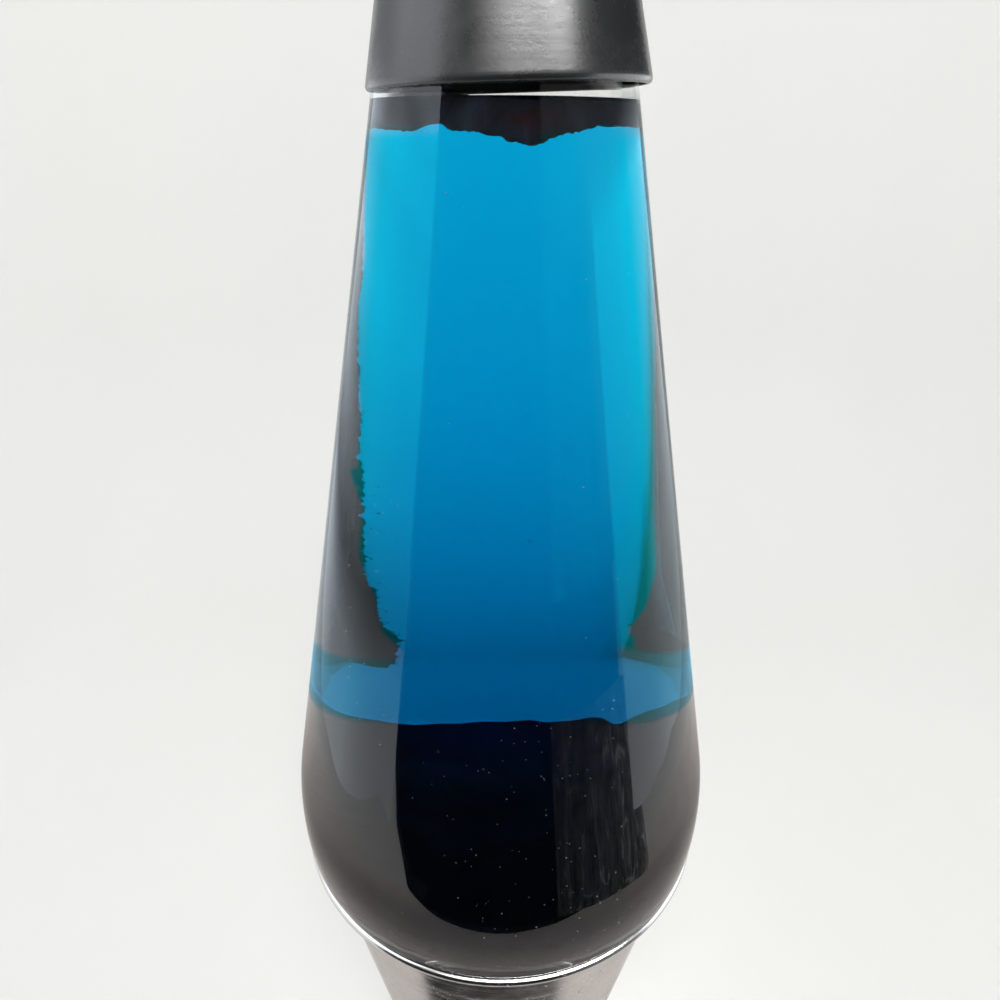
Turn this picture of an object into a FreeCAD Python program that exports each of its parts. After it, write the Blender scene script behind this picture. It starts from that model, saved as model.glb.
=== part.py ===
import FreeCAD, Part
import math
import os

V = FreeCAD.Vector
os.makedirs("parts", exist_ok=True)

# ---------------------------------------------------------------- dimensions
# Millimetres. +Z is up, the origin is the middle of the foot on the table,
# and -Y is the front. Heights named *_Z are above the table.

RIM_Z = 175.0          # the line where the globe sits in the base's rim
RIM_R = 57.0           # outside of the rolled bead
BEAD_R = 1.2           # radius of the rolled bead itself
SHEET = 1.0            # wall of the two spun base cones
WAIST_Z = 66.0         # seam between the two base cones
CUP_R0, CUP_K = 53.58, 0.18        # cup wall: outer radius at the rim line, and its growth per mm of height
WAIST_OPEN_R = 24.0    # opening through the waist, for the bulb
FOOT_R, FOOT_Z = 56.0, 2.6         # outer corner of the lower cone
WAIST_CORNER = 2.5

# globe: outer wall
GLASS_T = 3.0
GLOBE_BOTTOM_Z = RIM_Z - 72.0
TAPER_R, TAPER_K = 51.9, 0.20      # lower taper: radius at the rim line, growth per mm
HEEL_R = 3.5                       # tight heel that rests on the bead
HEEL_C = (53.75, RIM_Z + 4.92)     # middle of that heel
WIDE_R, WIDE_Z = 57.74, RIM_Z + 13.5
CONE_R0, CONE_K = 56.09, 0.1915    # long cone: radius 30 mm above the rim line, loss per mm
CONE_Z0 = RIM_Z + 30.0
CONE_TOP_Z = RIM_Z + 212.5
NECK_R = 12.2
LIP_R = 13.3
LIP_Z = RIM_Z + 226.0
GLOBE_TOP_Z = RIM_Z + 232.0
MOUTH_R = 8.6

LIQUID_Z = RIM_Z + 187.0
WAX_Z = RIM_Z + 5.0
GAP_IN = 0.15          # the fluids stay this far off the glass and each other

# cap
CAP_EDGE_Z = RIM_Z + 189.7
CAP_H = 66.3
CAP_T = 0.8
CAP_SEAT_Z = RIM_Z + 212.0
CAP_SEAT_R = 21.60     # inside radius where the cap sits on the globe's shoulder
CAP_K = 0.2309         # loss of radius per mm, a half angle of 13 degrees
CAP_LEAN = (1.75, 1.3) # degrees: the cap sits a little askew, its top towards -X and towards -Y

# bulb and socket
TIP_Z = 21.0
BULB_TOP_Z = 80.0
BULB_R = 17.5
SHELL_R = 8.10         # outside of the bulb's metal base
SOCKET_IN_R = 8.18     # inside of the socket's shell

WRITTEN = []


def save(name, shape):
    shape.exportStep("parts/%s.step" % name)
    bb = shape.BoundBox
    WRITTEN.append((name, shape.Volume, len(shape.Solids), shape.isValid(),
                    round(bb.XMin, 2), round(bb.XMax, 2), round(bb.YMin, 2), round(bb.YMax, 2), round(bb.ZMin, 2), round(bb.ZMax, 2)))
    return shape


# ---------------------------------------------------------------- profiles
def corner(a, b, c, r):
    """Tangent points and middle of the arc of radius r that rounds corner b."""
    ux, uz = a[0] - b[0], a[1] - b[1]
    vx, vz = c[0] - b[0], c[1] - b[1]
    lu, lv = math.hypot(ux, uz), math.hypot(vx, vz)
    ux, uz, vx, vz = ux / lu, uz / lu, vx / lv, vz / lv
    ang = math.acos(max(-1.0, min(1.0, ux * vx + uz * vz)))
    t = r / math.tan(ang / 2)
    p, q = (b[0] + ux * t, b[1] + uz * t), (b[0] + vx * t, b[1] + vz * t)
    mx, mz = ux + vx, uz + vz
    lm = math.hypot(mx, mz)
    d = r / math.sin(ang / 2)
    cx, cz = b[0] + mx / lm * d, b[1] + mz / lm * d
    m = (cx - mx / lm * r, cz - mz / lm * r)
    return p, m, q


def wire(points, radii=None, closed=True):
    """A wire in the XZ plane through (r, z) points, with rounded corners."""
    n = len(points)
    radii = radii or {}
    at = {}
    for i in range(n):
        if radii.get(i) and (closed or 0 < i < n - 1):
            at[i] = corner(points[i - 1], points[i], points[(i + 1) % n], radii[i])
    edges = []
    v = lambda p: V(p[0], 0, p[1])
    last = n if closed else n - 1
    for i in range(last):
        j = (i + 1) % n
        s = at[i][2] if i in at else points[i]
        e = at[j][0] if j in at else points[j]
        if math.hypot(s[0] - e[0], s[1] - e[1]) > 1e-6:
            edges.append(Part.LineSegment(v(s), v(e)).toShape())
        if j in at:
            edges.append(Part.Arc(v(at[j][0]), v(at[j][1]), v(at[j][2])).toShape())
    return Part.Wire(edges)


def turned(points, radii=None, angle=360.0, start=0.0):
    """A solid turned about the Z axis from a closed (r, z) outline."""
    face = Part.Face(wire(points, radii))
    if start:
        face.rotate(V(0, 0, 0), V(0, 0, 1), start)
    s = face.revolve(V(0, 0, 0), V(0, 0, 1), angle)
    return s if s.ShapeType == "Solid" else Part.Solid(s.Shells[0]) if s.Shells else s


def offset_line(points, t):
    """The open line moved t to its left, with mitred corners."""
    out = []
    segs = []
    for a, b in zip(points, points[1:]):
        dx, dz = b[0] - a[0], b[1] - a[1]
        l = math.hypot(dx, dz)
        nx, nz = -dz / l * t, dx / l * t
        segs.append(((a[0] + nx, a[1] + nz), (b[0] + nx, b[1] + nz)))
    out.append(segs[0][0])
    for (a, b), (c, d) in zip(segs, segs[1:]):
        x1, z1, x2, z2 = *a, *b
        x3, z3, x4, z4 = *c, *d
        den = (x1 - x2) * (z3 - z4) - (z1 - z2) * (x3 - x4)
        px = ((x1 * z2 - z1 * x2) * (x3 - x4) - (x1 - x2) * (x3 * z4 - z3 * x4)) / den
        pz = ((x1 * z2 - z1 * x2) * (z3 - z4) - (z1 - z2) * (x3 * z4 - z3 * x4)) / den
        out.append((px, pz))
    out.append(segs[-1][1])
    return out


def spun(points, t, radii):
    """A spun sheet: its line, t thick to the left, with bend radii {i: (on the line, on the other side)}."""
    other = offset_line(points, t)
    n = len(points)
    outline = list(points) + list(reversed(other))
    rr = {}
    for i, (r1, r2) in radii.items():
        rr[i] = r1
        rr[2 * n - 1 - i] = r2
    return turned(outline, rr)


def ring(r_mid, z, r):
    return Part.makeTorus(r_mid, r, V(0, 0, z), V(0, 0, 1))


def cyl(r, h, x=0.0, y=0.0, z=0.0, d=V(0, 0, 1)):
    return Part.makeCylinder(r, h, V(x, y, z), d)


def box(x0, x1, y0, y1, z0, z1):
    return Part.makeBox(x1 - x0, y1 - y0, z1 - z0, V(x0, y0, z0))


def cup_r(z):
    return CUP_R0 + CUP_K * (z - RIM_Z)


def foot_r(z):
    return FOOT_R + (cup_r(WAIST_Z) - FOOT_R) * (z - FOOT_Z) / (WAIST_Z - FOOT_Z)


# ---------------------------------------------------------------- base
# Upper cone: a cup that flares at its top into a rolled bead, with a flat
# flange at the waist.
flare_z = RIM_Z - 4.9
cup_line = [(WAIST_OPEN_R, WAIST_Z), (cup_r(WAIST_Z), WAIST_Z), (cup_r(flare_z), flare_z), (RIM_R - BEAD_R * 1.2, RIM_Z - 0.35)]
upper = spun(cup_line, SHEET, {1: (WAIST_CORNER, WAIST_CORNER - SHEET), 2: (6.0, 5.0)})
bead_mid = RIM_R - BEAD_R * 0.87
upper = upper.fuse(ring(bead_mid, RIM_Z + 0.59, BEAD_R)).removeSplitter()

# Lower cone: the foot, with a rolled bead at the table and a lip turned in
# under the cover disc.
foot_line = [(foot_r(FOOT_Z), FOOT_Z), (cup_r(WAIST_Z), WAIST_Z), (WAIST_OPEN_R, WAIST_Z)]
lower = spun(foot_line, SHEET, {1: (WAIST_CORNER, WAIST_CORNER - SHEET)})
lower = lower.fuse(ring(FOOT_R - 0.35, FOOT_Z - 0.3, 1.3)).fuse(turned([(51.5, 1.15), (55.6, 1.15), (55.6, 2.15), (51.5, 2.15)])).removeSplitter()

RIVET_AT = 27.3
rivet_spots = [(RIVET_AT, 0), (-RIVET_AT, 0), (0, RIVET_AT), (0, -RIVET_AT)]
for x, y in rivet_spots:
    hole = cyl(1.66, 8, x, y, WAIST_Z - 4)
    upper = upper.cut(hole)
    lower = lower.cut(hole)

# Cord inlet at the back of the foot: a rubber grommet square to the wall.
INLET_Z = 17.0
tilt = math.atan2(FOOT_R - cup_r(WAIST_Z), WAIST_Z - FOOT_Z)
inlet_dir = V(0, math.cos(tilt), math.sin(tilt))
inlet_at = V(0, foot_r(INLET_Z), INLET_Z)
INLET_BORE = 3.6
lower = lower.cut(Part.makeCylinder(5.62, 12, inlet_at - inlet_dir * 6, inlet_dir))
back = 1.75             # length of the grommet's waist, room for the curve of the wall
grommet = Part.makeCylinder(5.5, back, inlet_at - inlet_dir * back, inlet_dir)
outer_flange = Part.makeCylinder(8.2, 2.4, inlet_at + inlet_dir * 0.05, inlet_dir)
outer_flange = outer_flange.makeFillet(1.0, [e for e in outer_flange.Edges if e.Length > 40 and e.CenterOfMass.dot(inlet_dir) > inlet_at.dot(inlet_dir) + 2])
inner_flange = Part.makeCylinder(7.4, 2.0, inlet_at - inlet_dir * (back + 1.95), inlet_dir)
neck_link = Part.makeCylinder(5.5, back + 0.4, inlet_at - inlet_dir * (back + 0.2), inlet_dir)
grommet = grommet.fuse(neck_link).fuse(outer_flange).fuse(inner_flange).removeSplitter()
grommet = grommet.cut(Part.makeCylinder(INLET_BORE, 20, inlet_at - inlet_dir * 10, inlet_dir))

save("base_upper_cone", upper)
save("base_lower_cone", lower)
save("cord_grommet", grommet)

# Cover disc under the foot, with vent holes, and its rubber pads.
cover = cyl(53.9, 2.0, z=2.25)
for i in range(8):
    a = math.radians(22.5 + 45 * i)
    cover = cover.cut(cyl(3.0, 6, 28 * math.cos(a), 28 * math.sin(a), 0))
save("bottom_cover", cover)
PAD_R, PAD_AT = 6.5, 43.0
pads = []
for i in range(4):
    a = math.radians(45 + 90 * i)
    pad = cyl(PAD_R, 2.2, PAD_AT * math.cos(a), PAD_AT * math.sin(a), 0)
    pads.append(pad.makeFillet(0.5, [e for e in pad.Edges if abs(e.CenterOfMass.z) < 1e-6 and e.Length > 20]))
save("foot_pads", Part.Compound(pads))

# Socket bracket: a strap bent into a deep U that hangs through the waist.
BR_T, BR_W = 1.5, 14.0
BR_X = 22.0
BR_Z = 11.5
ear_x = 30.4
top = WAIST_Z + SHEET
strap = [(-ear_x, top), (-BR_X, top), (-BR_X, BR_Z), (BR_X, BR_Z), (BR_X, top), (ear_x, top)]
inside = offset_line(strap, BR_T)
outline = strap + list(reversed(inside))
n = len(strap)
rr = {1: 0.4, 2: 2.5, 3: 2.5, 4: 0.4, 2 * n - 2: 1.9, 2 * n - 3: 1.0, 2 * n - 4: 1.0, 2 * n - 5: 1.9}
bracket = Part.Face(wire(outline, rr))
bracket.translate(V(0, -BR_W / 2, 0))
bracket = bracket.extrude(V(0, BR_W, 0))
for x in (RIVET_AT, -RIVET_AT):
    bracket = bracket.cut(cyl(1.66, 6, x, 0, top - 2))
SCREW_AT = 9.6
for x in (SCREW_AT, -SCREW_AT):
    bracket = bracket.cut(cyl(1.3, 6, x, 0, BR_Z - 2))
save("socket_bracket", bracket)

rivets = []
for i, (x, y) in enumerate(rivet_spots):
    z0, z1 = WAIST_Z - SHEET, top + (BR_T if i < 2 else 0.0)
    shank = cyl(1.6, z1 - z0, x, y, z0)
    head = cyl(2.7, 1.1, x, y, z1 + 0.02)
    head = head.makeFillet(0.8, [e for e in head.Edges if abs(e.CenterOfMass.z - (z1 + 1.12)) < 1e-4 and e.Length > 10])
    tail = cyl(2.5, 0.9, x, y, z0 - 0.92)
    rivets.append(shank.fuse(cyl(1.6, 0.5, x, y, z1 - 0.2)).fuse(cyl(1.6, 0.5, x, y, z0 - 0.3)).fuse(head).fuse(tail).removeSplitter())
save("waist_rivets", Part.Compound(rivets))

# ---------------------------------------------------------------- socket
SB_Z0 = BR_Z + BR_T + 0.02
SB_TOP = 38.0
FLOOR_Z = 19.0
body = turned([(0, SB_Z0), (13.0, SB_Z0), (13.0, SB_TOP), (SOCKET_IN_R + 0.48, SB_TOP), (SOCKET_IN_R + 0.48, FLOOR_Z), (0, FLOOR_Z)], {1: 0.8, 2: 1.2})
for sx in (1, -1):
    body = body.cut(cyl(1.15, 4.2, sx * SCREW_AT, 0, SB_Z0 - 0.1))
    # flats where the terminal screws stand
    body = body.cut(box(-4.5, 4.5, *sorted((sx * 11.6, sx * 14)), SB_Z0 - 1, 22.0))
    body = body.cut(Part.makeCylinder(1.25, 6.0, V(0, sx * 14, 16.6), V(0, -sx, 0)))
save("socket_body", body)

shell = turned([(SOCKET_IN_R, 22.5), (SOCKET_IN_R + 0.45, 22.5), (SOCKET_IN_R + 0.45, 37.2), (SOCKET_IN_R, 37.2)])
save("socket_shell", shell)

leaf_pts = [(-5.4, FLOOR_Z + 0.02), (-2.2, FLOOR_Z + 0.02), (0.2, 20.25), (3.2, 20.25), (3.2, 20.70), (-0.1, 20.70), (-2.4, 19.48), (-5.4, 19.48)]
leaf_face = Part.Face(wire(leaf_pts))
leaf_face.translate(V(0, -2.0, 0))
contact = leaf_face.extrude(V(0, 4.0, 0))
save("centre_contact", contact)

term = []
for sy in (1, -1):
    h = Part.makeCylinder(3.0, 1.8, V(0, sy * 11.63, 16.6), V(0, sy, 0))
    h = h.makeFillet(0.5, [e for e in h.Edges if abs(abs(e.CenterOfMass.y) - 13.43) < 1e-3 and e.Length > 10])
    h = h.cut(box(-3.2, 3.2, *sorted((sy * 12.7, sy * 14)), 16.25, 16.95))
    s = Part.makeCylinder(1.2, 3.2, V(0, sy * 11.8, 16.6), V(0, -sy, 0))
    term.append(h.fuse(s).removeSplitter())
save("terminal_screws", Part.Compound(term))

fix = []
for x in (SCREW_AT, -SCREW_AT):
    head = cyl(2.3, 1.4, x, 0, BR_Z - 1.42)
    head = head.makeFillet(0.6, [e for e in head.Edges if abs(e.CenterOfMass.z - (BR_Z - 1.42)) < 1e-4 and e.Length > 10])
    head = head.cut(box(x - 0.35, x + 0.35, -2.5, 2.5, BR_Z - 1.6, BR_Z - 0.9))
    fix.append(head.fuse(cyl(1.1, 5.4, x, 0, BR_Z - 0.2)).removeSplitter())
save("socket_screws", Part.Compound(fix))

# ---------------------------------------------------------------- bulb
# 35 mm round-tapered envelope on a 17 mm screw base.
tip = turned([(0, TIP_Z), (2.6, TIP_Z), (2.6, TIP_Z + 1.3), (0, TIP_Z + 1.3)], {1: 1.0})
save("bulb_tip_contact", tip)
insul = turned([(0, 22.35), (4.6, 22.35), (7.55, 25.2), (7.55, 26.2), (0, 26.2)], {1: 0.6, 2: 0.5})
save("bulb_insulator", insul)
bshell = turned([(SHELL_R - 0.35, 25.0), (SHELL_R, 25.0), (SHELL_R, 38.6), (SHELL_R - 0.35, 38.6)])
save("bulb_screw_shell", bshell)

NECK_IN = 7.6
T_B = 0.8


def bulb_face(d):
    z_mid = BULB_TOP_Z - BULB_R
    r = BULB_R - d
    a = math.radians(-27.0)
    tang = (r * math.cos(a), z_mid + r * math.sin(a))
    neck = NECK_IN - d
    z_neck = 40.5
    v = lambda p: V(p[0], 0, p[1])
    top = (0.0, z_mid + r)
    mid = (r * math.cos(math.radians(35)), z_mid + r * math.sin(math.radians(35)))
    knee_a = (neck, z_neck - 3.0)
    k = (tang[0] - neck) / (tang[1] - z_neck)
    knee_b = (neck + k * 5.0 * 0.93, z_neck + 5.0 * 0.93)
    knee_m = (neck + k * 0.9, z_neck + 0.15)
    return v(knee_a), v(knee_m), v(knee_b), v(tang), v(mid), v(top)


o = bulb_face(0.0)
i = bulb_face(T_B)
zb = 27.0
v0, v1 = V(NECK_IN, 0, zb), V(NECK_IN - T_B, 0, zb)
edges = [Part.LineSegment(v0, o[0]).toShape(), Part.Arc(o[0], o[1], o[2]).toShape(), Part.LineSegment(o[2], o[3]).toShape(), Part.Arc(o[3], o[4], o[5]).toShape(),
         Part.LineSegment(o[5], i[5]).toShape(), Part.Arc(i[5], i[4], i[3]).toShape(), Part.LineSegment(i[3], i[2]).toShape(), Part.Arc(i[2], i[1], i[0]).toShape(),
         Part.LineSegment(i[0], v1).toShape(), Part.LineSegment(v1, v0).toShape()]
bglass = Part.Face(Part.Wire(edges)).revolve(V(0, 0, 0), V(0, 0, 1), 360)
save("bulb_glass", bglass)

stem = turned([(0, 30.0), (6.5, 30.0), (6.2, 31.2), (2.4, 36.5), (2.2, 50.0), (0, 51.0)], {2: 0.5, 3: 1.5})
leads = []
for sx in (1, -1):
    stem = stem.cut(cyl(0.52, 20, sx * 1.2, 0, 45))
    a, b, c = V(sx * 1.2, 0, 46.0), V(sx * 1.2, 0, 52.0), V(sx * 6.0, 0, 63.5)
    low_run = cyl(0.4, 6.0, a.x, 0, a.z)
    d = c - b
    high_run = Part.makeCylinder(0.4, d.Length, b, d)
    leads.append(low_run.fuse(Part.makeSphere(0.4, b)).fuse(high_run).removeSplitter())
save("bulb_stem", stem)
save("bulb_leads", Part.Compound(leads))
FIL_Z = 64.1
arc = Part.Arc(V(-5.6, 0, FIL_Z), V(0, 0, FIL_Z + 1.9), V(5.6, 0, FIL_Z)).toShape()
tangent = arc.tangentAt(arc.FirstParameter)
section = Part.Wire(Part.Circle(V(-5.6, 0, FIL_Z), tangent, 0.45).toShape())
filament = Part.Wire(arc).makePipeShell([section], True, True)
save("bulb_filament", filament)

# ---------------------------------------------------------------- globe
b62 = math.radians(62.0)


def on_heel(b, r=HEEL_R):
    return (HEEL_C[0] + r * math.cos(b), HEEL_C[1] - r * math.sin(b))


def taper_r(z):
    return TAPER_R + TAPER_K * (z - RIM_Z)


def cone_r(z):
    return CONE_R0 - CONE_K * (z - CONE_Z0)


def globe_outline(t):
    """Edges of the globe's half section moved t inwards, from the axis at the bottom to the mouth."""
    v = lambda p: V(p[0], 0, p[1])
    ct = math.atan(TAPER_K)
    e = []
    zb = GLOBE_BOTTOM_Z + (t * 1.5 if t else 0.0)
    # bottom corner
    rb = taper_r(zb) - t / math.cos(ct)
    r_corner = 7.0 - min(t, 3.0) * 0.8
    up = (taper_r(RIM_Z) - t / math.cos(ct), RIM_Z)
    p, m, q = corner((0.0, zb), (rb, zb), up, r_corner)
    e.append(Part.LineSegment(V(0, 0, zb), v(p)).toShape())
    e.append(Part.Arc(v(p), v(m), v(q)).toShape())
    # taper, then the concave bend under the heel
    hp = on_heel(b62, HEEL_R - t)
    d = (math.sin(b62), math.cos(b62))
    # meeting of the sloping line under the heel with the taper
    k = TAPER_K
    r0 = taper_r(RIM_Z) - t / math.cos(ct)
    s = (hp[0] - r0 - k * (hp[1] - RIM_Z)) / (d[0] - k * d[1])
    knee = (hp[0] - d[0] * s, hp[1] - d[1] * s)
    rr = 4.0 + t
    far = (hp[0] + d[0] * 20, hp[1] + d[1] * 20)
    p2, m2, q2 = corner(q, knee, far, rr)
    e.append(Part.LineSegment(v(q), v(p2)).toShape())
    e.append(Part.Arc(v(p2), v(m2), v(q2)).toShape())
    return e, q2, hp


def outer_wall():
    v = lambda p: V(p[0], 0, p[1])
    e, q2, hp = globe_outline(0.0)
    if math.hypot(q2[0] - hp[0], q2[1] - hp[1]) > 1e-4:
        e.append(Part.LineSegment(v(q2), v(hp)).toShape())
    b0 = math.radians(6.2)
    h0 = on_heel(b0)
    e.append(Part.Arc(v(hp), v(on_heel(math.radians(34))), v(h0)).toShape())
    zm = (h0[1] + WIDE_Z) / 2
    e.append(Part.Arc(v(h0), v((WIDE_R - (WIDE_Z - zm) ** 2 / 160.0, zm)), v((WIDE_R, WIDE_Z))).toShape())
    zc = CONE_Z0
    rho = (zc - WIDE_Z) / math.sin(math.atan(CONE_K))
    zm = (WIDE_Z + zc) / 2
    e.append(Part.Arc(v((WIDE_R, WIDE_Z)), v((WIDE_R - rho + math.sqrt(rho ** 2 - (zm - WIDE_Z) ** 2), zm)), v((cone_r(zc), zc))).toShape())
    zt = CONE_TOP_Z
    sh = [(cone_r(zc), zc), (cone_r(zt + 3.2), zt + 3.2), (NECK_R, zt + 5.0), (NECK_R, LIP_Z)]
    p, m, q = corner(sh[0], sh[1], sh[2], 5.0)
    e.append(Part.LineSegment(v(sh[0]), v(p)).toShape())
    e.append(Part.Arc(v(p), v(m), v(q)).toShape())
    p2, m2, q2 = corner(q, sh[2], sh[3], 2.6)
    e.append(Part.LineSegment(v(q), v(p2)).toShape())
    e.append(Part.Arc(v(p2), v(m2), v(q2)).toShape())
    e.append(Part.LineSegment(v(q2), v((NECK_R, LIP_Z))).toShape())
    e.append(Part.LineSegment(v((NECK_R, LIP_Z)), v((LIP_R, LIP_Z + 1.1))).toShape())
    e.append(Part.LineSegment(v((LIP_R, LIP_Z + 1.1)), v((LIP_R, GLOBE_TOP_Z - 1.6))).toShape())
    a, b = (LIP_R, GLOBE_TOP_Z - 1.6), (LIP_R - 1.6, GLOBE_TOP_Z)
    mid = (LIP_R - 1.6 + 1.6 * math.cos(math.pi / 4), GLOBE_TOP_Z - 1.6 + 1.6 * math.sin(math.pi / 4))
    e.append(Part.Arc(v(a), v(mid), v(b)).toShape())
    return e, b


def inner_wall(gap=0.0, top=None, bottom=None):
    """Points of the globe's inside, from the axis at the bottom to the mouth, moved gap further in."""
    t = GLASS_T + gap
    ct = math.cos(math.atan(TAPER_K))
    cc = math.cos(math.atan(CONE_K))
    zb = GLOBE_BOTTOM_Z + 5.0 + gap
    zt = CONE_TOP_Z
    pts = [(0.0, zb), (taper_r(zb) - t / ct, zb), (taper_r(RIM_Z - 1.2) - t / ct, RIM_Z - 1.2), (WIDE_R - t - 0.35, RIM_Z + 6.6), (WIDE_R - t, WIDE_Z),
           (WIDE_R - t - 0.36, WIDE_Z + 8.0), (cone_r(CONE_Z0) - t / cc, CONE_Z0), (cone_r(zt + 0.6) - t / cc, zt + 0.6), (MOUTH_R - gap, zt + 3.4), (MOUTH_R - gap, GLOBE_TOP_Z)]
    rr = {1: 5.0, 2: 6.0, 3: 4.0, 4: 40.0, 5: 60.0, 6: 60.0, 7: 3.0, 8: 2.5}
    return pts, rr


def inner_solid(gap=0.0):
    pts, rr = inner_wall(gap)
    return turned(pts + [(0.0, GLOBE_TOP_Z)], rr)


e, end = outer_wall()
v = lambda p: V(p[0], 0, p[1])
e.append(Part.LineSegment(v(end), V(0, 0, GLOBE_TOP_Z)).toShape())
e.append(Part.LineSegment(V(0, 0, GLOBE_TOP_Z), V(0, 0, GLOBE_BOTTOM_Z)).toShape())
globe_outer = Part.Face(Part.Wire(e)).revolve(V(0, 0, 0), V(0, 0, 1), 360)
cavity_pts, cavity_rr = inner_wall(0.0)
cavity = turned(cavity_pts[:-1] + [(MOUTH_R, GLOBE_TOP_Z + 2), (0.0, GLOBE_TOP_Z + 2)], cavity_rr)
# a shallow push-up in the bottom, as blown bottles have
push_up = Part.makeSphere(160.0, V(0, 0, GLOBE_BOTTOM_Z - 158.6))
globe = globe_outer.cut(cavity).cut(push_up)
save("globe_glass", globe)

# Crown closure crimped over the lip, and its liner.
cr_top = GLOBE_TOP_Z + 1.25
crown_in = turned([(0, GLOBE_TOP_Z - 8), (LIP_R + 0.06, GLOBE_TOP_Z - 8), (LIP_R + 0.06, GLOBE_TOP_Z - 1.0), (LIP_R - 1.0, cr_top), (0, cr_top)])
crown_out = turned([(0, GLOBE_TOP_Z - 5.2), (LIP_R + 1.9, GLOBE_TOP_Z - 5.2), (LIP_R + 0.9, GLOBE_TOP_Z - 2.6), (LIP_R + 0.42, GLOBE_TOP_Z - 0.6), (LIP_R - 0.8, cr_top + 0.32), (0, cr_top + 0.32)])
flutes = []
for i in range(21):
    a = 2 * math.pi * i / 21
    flutes.append(Part.makeCylinder(1.15, 7.5, V((LIP_R + 1.68) * math.cos(a), (LIP_R + 1.68) * math.sin(a), GLOBE_TOP_Z - 7.6)))
crown = crown_out.cut(crown_in)
for fl in flutes:
    crown = crown.cut(fl)
save("crown_closure", crown)
liner = turned([(0, GLOBE_TOP_Z + 0.06), (LIP_R - 1.35, GLOBE_TOP_Z + 0.06), (LIP_R - 1.35, cr_top - 0.05), (0, cr_top - 0.05)])
save("closure_liner", liner)

# ---------------------------------------------------------------- what the globe holds
inside_wax = inner_solid(GAP_IN)
slab_z0, slab_z1 = LIQUID_Z - 5.6, LIQUID_Z - 0.1


def in_r(z):
    return cone_r(z) - (GLASS_T + GAP_IN) / math.cos(math.atan(CONE_K))


COIL_Z = GLOBE_BOTTOM_Z + 5.0 + 3.4
COIL_MID, COIL_R = 27.0, 2.6
coil = ring(COIL_MID, COIL_Z, COIL_R)
save("wire_coil", coil)

wax = inside_wax.common(cyl(80, WAX_Z - 60, z=60)).cut(ring(COIL_MID, COIL_Z, COIL_R + 0.12))
save("wax_mass", wax)

slab = turned([(0, slab_z0), (in_r(slab_z0) - 0.3, slab_z0), (in_r(slab_z1) - 0.3, slab_z1), (0, slab_z1)], {1: 1.5})
drip = Part.makeCone(3.0, 7.5, 3.4, V(2.5, -15.0, slab_z0 - 3.2))
slab = slab.fuse(drip).removeSplitter()
save("wax_slab", slab)


def film(z0, z1, a0, a1, t=0.5):
    """A skin of wax on the inner wall from azimuth a0 to a1, in degrees from +X."""
    pts = [(in_r(z0) - t, z0), (in_r(z0), z0), (in_r(z1), z1), (in_r(z1) - t, z1)]
    return turned(pts, None, a1 - a0, a0)


# Both skins are on the back half: 90 degrees is straight back. The wall
# below 30 mm over the rim line curves away, so they start above it.
film_l = film(RIM_Z + 30.5, RIM_Z + 155.0, 90 + 25, 90 + 100)
film_r = film(RIM_Z + 30.5, RIM_Z + 128.0, 90 - 100, 90 - 25)
save("wax_film_left", film_l)
save("wax_film_right", film_r)

liquid = inner_solid(GAP_IN * 2).common(cyl(80, LIQUID_Z - (WAX_Z + 0.12), z=WAX_Z + 0.12))
slab_room = turned([(0, slab_z0 - 0.12), (in_r(slab_z0) + 2, slab_z0 - 0.12), (in_r(slab_z0) + 2, LIQUID_Z + 1), (0, LIQUID_Z + 1)])
drip_room = Part.makeCone(3.14, 7.9, 3.7, V(2.5, -15.0, slab_z0 - 3.36))
liquid = liquid.cut(slab_room).cut(drip_room)
for z0, z1, a0, a1 in ((RIM_Z + 30.3, RIM_Z + 155.2, 90 + 24.6, 90 + 100.4), (RIM_Z + 30.3, RIM_Z + 128.2, 90 - 100.4, 90 - 24.6)):
    pts = [(in_r(z0) - 0.65, z0), (in_r(z0) + 3, z0), (in_r(z1) + 3, z1), (in_r(z1) - 0.65, z1)]
    liquid = liquid.cut(turned(pts, None, a1 - a0, a0))
save("liquid", liquid)

# ---------------------------------------------------------------- cap
top_z = CAP_EDGE_Z + CAP_H


def cap_r(z):
    return CAP_SEAT_R - CAP_K * (z - CAP_SEAT_Z)


ct = math.cos(math.atan(CAP_K))
cap_line = [(0.0, top_z), (cap_r(top_z) + CAP_T / ct, top_z), (cap_r(CAP_EDGE_Z) + CAP_T / ct, CAP_EDGE_Z)]
cap_in = [(0.0, top_z - CAP_T), (cap_r(top_z - CAP_T), top_z - CAP_T), (cap_r(CAP_EDGE_Z), CAP_EDGE_Z)]
cap = turned([cap_line[0], cap_line[1], cap_line[2], cap_in[2], cap_in[1], cap_in[0]], {1: 4.0, 2: 0.35, 3: 0.35, 4: 3.2})
cap.rotate(V(0, 0, CAP_SEAT_Z), V(1, 0, 0), CAP_LEAN[1])
cap.rotate(V(0, 0, CAP_SEAT_Z), V(0, 1, 0), -CAP_LEAN[0])
save("top_cap", cap)

for row in WRITTEN:
    print("%-18s vol %10.1f solids %d valid %s  x %.2f..%.2f  y %.2f..%.2f  z %.2f..%.2f" % row)
print("inside of the globe to the liquid line, ml: %.0f" % (inner_solid(0.0).common(cyl(80, LIQUID_Z - 60, z=60)).Volume / 1000))
print("wax ml %.0f" % (wax.Volume / 1000))
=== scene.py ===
import bpy
import bmesh
import math
import random
from mathutils import Matrix, Vector, noise


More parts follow.
